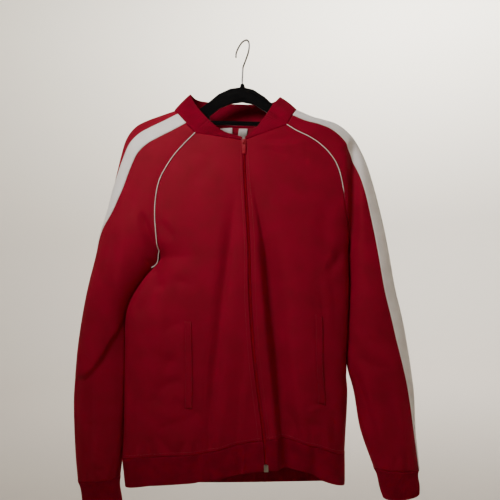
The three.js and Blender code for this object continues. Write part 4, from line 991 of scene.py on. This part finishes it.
def cuffGrid(sleeve, end):
    top = sleeve[-1]
    first = top + (top - sleeve[-6]) / lengthOf(top - sleeve[-6]) * rib["seamGap"]
    crest = cloth["sleeveColumns"] // 2
    centre = top[1:].mean(axis=0)
    halfTop = abs(top[0, 0] - top[crest, 0]) / 2
    across = np.clip((top[:, 0] - top[0, 0]) / (top[crest, 0] - top[0, 0]), 0, 1)
    forward = (top[:, 1] - end["mid"]) / np.where(top[:, 1] < end["mid"], sleeveEnd["front"], sleeveEnd["back"])
    depth = np.where(forward < 0, end["front"], end["back"])
    foot = point(mix(end["innerX"], end["outerX"], across), end["mid"] + forward * depth,
                 mix(end["innerZ"], end["outerZ"], across))
    count = ribCount(first)
    first, foot = evenly(first, [foot], count)
    first[-1], foot[-1] = first[0], foot[0]
    neck = mix(first, foot, 0.25)
    neck[:, 0] = mix(neck[:, 0], centre[0], 3 / halfTop)
    neck[:, 1] = mix(neck[:, 1], end["mid"], 0.08)
    low = mix(first, foot, 0.65)
    controls = [first, neck, low, foot]
    place = np.interp(ribRows, [0, 0.25, 0.65, 1], [0, 1, 2, 3])
    return np.stack([np.stack([splineAt([c[j, k] for c in controls], place) for k in range(3)], -1)
                     for j in range(count)], axis=1)


for side, sleeve, end, sign in (("right", rightSleeve, rightCuff, 1), ("left", leftSleeve, leftCuff, -1)):
    ribBand(f"cuff{side.title()}Rib", cuffGrid(sleeve, end), sign, f"cuff_{side}", 0)
print("rib bands made")


# Sleeve tapes: a strip of each sleeve, moved out
tape = {"wall": 0.7, "columns": 15}
tapeLift = shell / 2 + 0.3 + tape["wall"] / 2
tapeGrids = {}
for side, table, fold, sign, front, hidden in (
        ("right", rightSleeveTable, rightSleeveFold, 1, rightSleeveCreases, rightSleeveBackCreases),
        ("left", leftSleeveTable, leftSleeveFold, -1, leftSleeveCreases, leftSleeveBackCreases)):
    strip = sleeveStrip(table, fold, tape["columns"], sleeveTape)
    push = sleevePush(strip, front, hidden)
    strip = strip + gridNormals(strip, sign) * (tapeLift - push[..., None])
    tapeGrids[side] = strip
    piece = wallPiece(f"sleeveTape{side.title()}", strip, tape["wall"], sign, wovenTape)
    dress(piece, f"sleeve_tape_{side}")

# Raglan piping: a cord off each seam, from the neck to just above the underarm
# (the left front's goes out of sight earlier, under the sleeve's cloth)
piping = {"radius": 0.72, "stand": 1.1, "sink": 2.2}
pipingStops = {"piping_right": 0.93, "piping_left": 0.76, "piping_back_right": 0.93,
               "piping_back_left": 0.93}
# the right front's shows to the end, where it hooks round in the armhole
pipingHook = [[-188.6, -20.5, -425], [-190, -17.5, -434], [-193, -15.5, -441], [-198, -16, -446],
              [-203.5, -19, -449]]
for side, sleeve, sign in (("right", rightArm, 1), ("left", leftArm, -1)):
    normals = gridNormals(sleeve, sign, raglan)
    for node, column in ((f"piping_{side}", 0), (f"piping_back_{side}", -1)):
        stopRow = int(raglan * pipingStops[node])
        stand = np.interp(np.arange(stopRow + 1), [0, stopRow - 9, stopRow],
                          [piping["stand"], piping["stand"], -piping["sink"]])[:, None]
        lift = cloth["wall"] / 2 + stand
        path = sleeve[:stopRow + 1, column] + normals[:stopRow + 1, column] * lift
        if node == "piping_right":
            lift = cloth["wall"] / 2 + piping["stand"]
            path = np.concatenate([(sleeve + normals * lift)[:stopRow + 1, 0], pipingHook])
        piece = cordPiece(node.replace("_", "") + "Cord", path, piping["radius"], 10, satinPiping)
        dress(piece, node)

# Pocket welts: upright strips over the fronts
welt = {"wall": 1.3, "rows": 60, "columns": 9}
weltGrids = {}
for side, edge, folds, outward, sign, table, creases in (
        ("right", rightEdge, rightFolds, -1, 1, rightWelt, rightFrontCreases),
        ("left", leftEdge, leftFolds, 1, -1, leftWelt, leftFrontCreases)):
    rows = rowPlaces()
    limits = lookUp(weltColumns, table["rows"], "z", zipZ(rows))
    middle = frontPoints(edge, folds, outward, rows, ((limits["inner"] + limits["outer"]) / 2)[:, None])
    wanted = np.linspace(table["top"], table["bottom"], welt["rows"])
    row = np.interp(-wanted, -middle[:, 0, 2], rows)
    limits = lookUp(weltColumns, table["rows"], "z", zipZ(row))
    part = mix(limits["inner"][:, None], limits["outer"][:, None], np.linspace(0, 1, welt["columns"])[None, :])
    grid = frontPoints(edge, folds, outward, row, part)
    grid = pushed(grid, sign, creasePush(grid, creases))
    grid = grid + gridNormals(grid, sign) * (shell / 2 + 0.3 + welt["wall"] / 2)
    weltGrids[side] = grid
    edgeDown = np.minimum(np.linspace(0, 1, welt["columns"]), np.linspace(1, 0, welt["columns"]))
    soft = 0.55 + 0.45 * smooth(edgeDown / 0.2)
    piece = wallPiece(f"pocketWelt{side.title()}", grid, welt["wall"] * soft[None, :], sign, tricot)
    dress(piece, f"pocket_welt_{side}")

# Zip: a tape behind each front edge, and the closed coil between the edges
zipSize = {"top": -213, "foot": -829, "pitch": 1.5, "behind": 1.95, "tapeWall": 0.8,
           "tapeColumns": [2.6, 4.5, 7, 9.5, 12], "coilApart": 0.95, "coilBehind": 1.1,
           "turn": (2.5, 1.9, 0.95), "coreHalf": 1.9, "coreBehind": 1.9, "coreWall": 0.9}


def zipPath(z):
    line = lookUp(zipColumns, zipTable, "z", z)
    below = np.clip((zipEnd["hem"] - z) / hemBand["height"], 0, 1)
    return point(line["x"], line["y"] * mix(1, hemBand["nearer"], below), z)


for side, outward, sign in (("right", -1, 1), ("left", 1, -1)):
    z = np.linspace(zipTable[0][2], zipSize["foot"], 160)
    across = np.array(zipSize["tapeColumns"])
    grid = zipPath(z)[:, None] + outward * across[None, :, None] * np.array([1, 0, 0])
    grid = grid + [0, zipSize["behind"], 0]
    piece = wallPiece(f"zipTape{side.title()}", grid, zipSize["tapeWall"], sign, zipTwill)
    dress(piece, f"zip_tape_{side}")


# Small rounded bars at a steady pitch along a line: stitches and coil turns. Size is
# across, out and along the line; turns is which way a bar may turn to follow it.
def barTree(turns):
    tree = bpy.data.node_groups.new("barsAlong" + turns.title(), "GeometryNodeTree")
    face = tree.interface
    face.new_socket("Geometry", in_out="INPUT", socket_type="NodeSocketGeometry")
    for name in ("Pitch", "Across", "Out", "Along"):
        face.new_socket(name, in_out="INPUT", socket_type="NodeSocketFloat")
    face.new_socket("Sides", in_out="INPUT", socket_type="NodeSocketInt")
    face.new_socket("Material", in_out="INPUT", socket_type="NodeSocketMaterial")
    face.new_socket("Geometry", in_out="OUTPUT", socket_type="NodeSocketGeometry")
    start = addNode(tree, "NodeGroupInput").outputs
    curve = addNode(tree, "GeometryNodeMeshToCurve", links={"Mesh": start["Geometry"]})
    even = addNode(tree, "GeometryNodeResampleCurve", mode="LENGTH",
                   links={"Curve": curve.outputs[0], "Length": start["Pitch"]})
    tangent = addNode(tree, "GeometryNodeInputTangent")
    turn = addNode(tree, "FunctionNodeAlignEulerToVector", links={"Vector": tangent.outputs[0]},
                   axis="Z", pivot_axis=turns)
    bar = addNode(tree, "GeometryNodeMeshUVSphere", {"Rings": 6, "Radius": 0.5}, {"Segments": start["Sides"]})
    size = addNode(tree, "ShaderNodeCombineXYZ", links={"X": start["Across"], "Y": start["Out"],
                                                        "Z": start["Along"]})
    bars = addNode(tree, "GeometryNodeInstanceOnPoints", links={
        "Points": even.outputs[0], "Instance": bar.outputs["Mesh"], "Rotation": turn.outputs[0],
        "Scale": size.outputs[0]})
    smoothBars = addNode(tree, "GeometryNodeRealizeInstances", links={"Geometry": bars.outputs[0]})
    shade = addNode(tree, "GeometryNodeSetShadeSmooth", links={"Geometry": smoothBars.outputs[0]})
    paint = addNode(tree, "GeometryNodeSetMaterial", links={"Geometry": shade.outputs[0],
                                                            "Material": start["Material"]})
    addNode(tree, "NodeGroupOutput", links={"Geometry": paint.outputs[0]})
    return tree


followAll, followUpright = barTree("AUTO"), barTree("Y")


def barsAlong(name, lines, pitch, size, material, tree):
    points = np.concatenate([np.asarray(line) for line in lines])
    edges, start = [], 0
    for line in lines:
        edges += [(start + k, start + k + 1) for k in range(len(line) - 1)]
        start += len(line)
    mesh = bpy.data.meshes.new(name + "Line")
    mesh.from_pydata((points * mm).tolist(), edges, [])
    line = placed(name + "Line", mesh)
    bars = line.modifiers.new("bars", "NODES")
    bars.node_group = tree
    values = {"Pitch": pitch * mm, "Across": size[0] * mm, "Out": size[1] * mm, "Along": size[2] * mm,
              "Sides": 8, "Material": material}
    for item in tree.interface.items_tree:
        if item.in_out == "INPUT" and item.name in values:
            bars[item.identifier] = values[item.name]
    graph = bpy.context.evaluated_depsgraph_get()
    made = bpy.data.meshes.new_from_object(line.evaluated_get(graph), depsgraph=graph)
    line.modifiers.remove(bars)
    bpy.data.objects.remove(line)
    piece = placed(name, made)
    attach(piece, "jacket")
    return piece


# the coil's two sides, half a pitch apart, over a flat core
chainZ = np.linspace(zipSize["top"], zipSize["foot"], 400)
coil = barsAlong("zipCoil", [
    zipPath(chainZ) + [-zipSize["coilApart"], zipSize["coilBehind"], 0],
    zipPath(chainZ - zipSize["pitch"] / 2) + [zipSize["coilApart"], zipSize["coilBehind"], 0]],
    zipSize["pitch"], zipSize["turn"], nylonCoil, followUpright)
coreZ = np.linspace(zipSize["top"], zipSize["foot"], 120)
coreAcross = zipSize["coreHalf"] * np.array([-1, 0, 1])
coreGrid = zipPath(coreZ)[:, None] + coreAcross[None, :, None] * np.array([1, 0, 0])
core = wallPiece("zipCore", coreGrid + [0, zipSize["coreBehind"], 0], zipSize["coreWall"], 1, zipTwill)
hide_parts("zip_chain")

# Stitching: a straight stitch of 3 mm, raised a little
stitch = {"pitch": 3.2, "size": (0.55, 0.55, 2.5), "lift": 0.12}


def overCloth(grid, sign, wall=shell):
    return grid + gridNormals(grid, sign) * (wall / 2 + stitch["lift"])


def columnAt(mmFromEdge, grid):
    width = np.linalg.norm(np.diff(grid[len(grid) // 2], axis=0), axis=1)
    return int(np.searchsorted(np.cumsum(width), mmFromEdge)) + 1


seams, tapeSeams = [], []
for grid, sign in ((rightBody, 1), (leftBody, -1)):
    moved = overCloth(grid, sign)
    seams += [moved[:, columnAt(6.5, grid)], moved[-3, 2:-3]]
moved = overCloth(backBody, 1)
seams += [moved[-3, 3:-3], moved[3, 3:-3]]
for side, sign in (("right", 1), ("left", -1)):
    for column in (1, -2):
        seams.append(overCloth(weltGrids[side], sign, welt["wall"])[:, column])
        tapeSeams.append(overCloth(tapeGrids[side], sign, tape["wall"])[:, column])
for name, lines, thread, slotName in (("seamStitches", seams, redThread, "tricot"),
                                      ("tapeStitches", tapeSeams, whiteThread, "white_tape")):
    barsAlong(name, lines, stitch["pitch"], stitch["size"], thread, followAll)
print("trim, zip and stitching made")


# Labels inside the back neck, plain satin
labels = {
    "neck_label": {"leftX": -61, "rightX": -36, "top": -163.5, "bottom": -184, "wall": 0.6, "lean": 0},
    "care_tag": {"leftX": -22, "rightX": -4, "top": -165.5, "bottom": -187, "wall": 0.6, "lean": 1.2},
}


def backSurfaceY(x, z):
    far = (back[..., 0] - x[..., None, None]) ** 2 + (back[..., 2] - z[..., None, None]) ** 2
    nearest = far.reshape(*x.shape, -1).argmin(-1)
    return back[..., 1].reshape(-1)[nearest]


for node, size in labels.items():
    down = np.linspace(0, 1, 13)[:, None]
    across = np.linspace(0, 1, 17)[None, :]
    x = mix(size["leftX"], size["rightX"], across) - 3 * size["lean"] * down
    z = mix(size["top"], size["bottom"], down) - size["lean"] * across
    inset = cloth["wall"] / 2 + cloth["seamGap"] + 0.15 + size["wall"] / 2
    curl = 1.0 * down * down * (0.4 + 0.6 * np.sin(np.pi * across))
    grid = point(x, backSurfaceY(x, z).min() - inset - size["lean"] * down - curl, z)
    dress(wallPiece(node.replace("_", "") + "Satin", grid, size["wall"], 1, labelSatin), node)


# A solid taken from the frame, its points merged and its edges rounded
def rounded(node, name, material, width, segments, body="jacket"):
    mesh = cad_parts[node].data.copy()
    mesh.name = name
    work = bmesh.new()
    work.from_mesh(mesh)
    bmesh.ops.remove_doubles(work, verts=work.verts, dist=2e-5)
    bmesh.ops.dissolve_limit(work, angle_limit=math.radians(2), verts=work.verts, edges=work.edges)
    work.to_mesh(mesh)
    work.free()
    mesh.materials.clear()
    mesh.materials.append(material)
    piece = placed(name, mesh)
    edge = piece.modifiers.new("edge", "BEVEL")
    edge.width = width * mm
    edge.segments = segments
    edge.limit_method = "ANGLE"
    edge.angle_limit = math.radians(35)
    edge.harden_normals = True
    mesh.polygons.foreach_set("use_smooth", np.ones(len(mesh.polygons), bool))
    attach(piece, body)
    dress(piece, node)


rounded("zip_slider", "zipSliderCast", enamelZinc, 0.3, 3)
rounded("pull_tab", "pullTabCast", enamelZinc, 0.3, 3, "tab")
rounded("zip_box", "zipBoxPressed", nickelMetal, 0.35, 3)
rounded("hanger", "hangerFlocked", flockVelvet, 1.6, 4)

# Hook: bent wire with a rounded tip, swivelled about its stem
hook = {"wire": 3.5, "turnDegrees": 43}
hookTable = [
    [-21, -23.7], [-20.4, -16.8], [-17, -10], [-11.6, -3.4], [-5.9, 0.7], [0, 1.5],
    [4.4, 0.2], [7.2, -3.4], [8.6, -9], [8.3, -17], [6, -26.5], [2.4, -34], [-3.1, -44.6],
    [-6, -50], [-7.3, -58.7], [-8.3, -69.5], [-9.2, -80.5], [-9.2, -86.8],
]
place = np.linspace(0, len(hookTable) - 1, 160)
hookLine = rowsAt(["x", "z"], hookTable, place)
stemX = hookTable[-1][0]
swing = math.tan(math.radians(hook["turnDegrees"]))
hookPath = point(hookLine["x"], -(hookLine["x"] - stemX) * swing, hookLine["z"])
dress(cordPiece("hookWire", hookPath, hook["wire"] / 2, 20, chromeWire), "hanger_hook")
print("labels, hanger and metal made")


# A round pale room: a floor that turns up into a wall far away
room = {"floor": -1300, "radius": 4600, "corner": 1200, "height": 3600}
roomMaterial, roomTree, roomShader = newMaterial("paintedRoom", {
    "shader": {"Roughness": 0.9, "Specular IOR Level": 0.2}})
# matt emulsion paint in a warm grey, with painted light on it: paler towards the top and darker towards the
# floor, as the light falls off downwards
roomPlace = addNode(roomTree, "ShaderNodeTexCoord")
roomHeight = addNode(roomTree, "ShaderNodeSeparateXYZ", links={"Vector": roomPlace.outputs["Object"]})
roomPart = addNode(roomTree, "ShaderNodeMapRange", {"From Min": room["floor"] * mm, "From Max": 1.8},
                   {"Value": roomHeight.outputs["Z"]})
roomPaintedLight = addNode(roomTree, "ShaderNodeValToRGB", links={"Fac": roomPart.outputs["Result"]})
roomPaintedLight.color_ramp.elements[0].color = hexLinear("BDB6AE")
roomPaintedLight.color_ramp.elements[1].color = hexLinear("E6E0D4")
roomTree.links.new(roomPaintedLight.outputs["Color"], roomShader.inputs["Base Color"])
angle = np.linspace(0, np.pi / 2, 16)
profile = [(r, room["floor"]) for r in (0.0, 1200.0, 2400.0)]
bend = room["radius"] - room["corner"]
profile += [(bend + room["corner"] * math.sin(a), room["floor"] + room["corner"] * (1 - math.cos(a)))
            for a in angle]
profile += [(room["radius"], room["height"])]
around = np.linspace(0, 2 * np.pi, 97)[:-1]
ringPoints = [(0, 0, room["floor"])]
ringFaces = []
for r, z in profile[1:]:
    ringPoints += [(r * math.cos(a), r * math.sin(a), z) for a in around]
count = len(around)
for k in range(count):
    ringFaces.append((0, 1 + k, 1 + (k + 1) % count))
for ring in range(len(profile) - 2):
    low = 1 + ring * count
    for k in range(count):
        after = (k + 1) % count
        ringFaces.append((low + k, low + count + k, low + count + after, low + after))
roomMesh = bpy.data.meshes.new("room")
roomMesh.from_pydata((np.array(ringPoints) * mm).tolist(), [], ringFaces)
roomMesh.polygons.foreach_set("use_smooth", np.ones(len(roomMesh.polygons), bool))
roomMesh.materials.append(roomMaterial)
placed("room", roomMesh)


# Light: a soft spot as key from the upper left, a weak fill, and lamps on the wall and
# from overhead. Places are in metres.
def addLamp(light, place, target, power, colour):
    light.energy = power
    light.color = colour
    lamp = placed(light.name, light)
    lamp.location = place
    lamp.rotation_euler = (Vector(target) - Vector(place)).to_track_quat("-Z", "Y").to_euler()


def areaLight(name, place, target, size, power, colour):
    light = bpy.data.lights.new(name, "AREA")
    light.shape = "DISK"
    light.size = size
    addLamp(light, place, target, power, colour)


def spotLight(name, place, target, cone, power, colour):
    light = bpy.data.lights.new(name, "SPOT")
    light.spot_size = math.radians(cone)
    light.spot_blend = 1.0
    light.shadow_soft_size = 0.2
    addLamp(light, place, target, power, colour)


spotLight("key", (-0.52, -0.78, 0.30), (-0.04, 0, -0.28), 66, 35, (1, 0.985, 0.96))
areaLight("fill", (1.5, -1.6, 0.2), (0, 0, -0.5), 1.6, 1.6, (0.97, 0.98, 1))
areaLight("wallWash", (1.0, 1.8, 2.6), (1.0, 4.4, 1.3), 2.0, 460, (1, 0.99, 0.96))
areaLight("overhead", (0.2, 0.5, 1.6), (0, 0, -0.4), 1.2, 6, (1, 1, 1))
world = bpy.data.worlds.new("softRoom")
world.use_nodes = True
world.node_tree.nodes["Background"].inputs["Color"].default_value = hexLinear("E9E6E1")
world.node_tree.nodes["Background"].inputs["Strength"].default_value = 0.07
bpy.context.scene.world = world

# Camera: about 1.1 m from the hook, a little from the left and turned with the photo
view = {"lens": 38.95, "sensor": 36, "yaw": 4.0, "tilt": 1.5, "roll": 2.1, "place": (70.1, -1086.4, -449.6)}
yaw, tilt, roll = (math.radians(view[k]) for k in ("yaw", "tilt", "roll"))
forward = Vector((-math.sin(yaw) * math.cos(tilt), math.cos(yaw) * math.cos(tilt), math.sin(tilt)))
level = Vector((math.cos(yaw), math.sin(yaw), 0))
upright = level.cross(forward)
up = upright * math.cos(roll) + level * math.sin(roll)
right = level * math.cos(roll) - upright * math.sin(roll)
cameraData = bpy.data.cameras.new("photoView")
cameraData.lens = view["lens"]
cameraData.sensor_width = view["sensor"]
cameraData.clip_end = 30
camera = placed("photoView", cameraData)
turn = Matrix((right, up, -forward)).transposed().to_4x4()
camera.matrix_world = Matrix.Translation(Vector(view["place"]) * mm) @ turn
bpy.context.scene.camera = camera
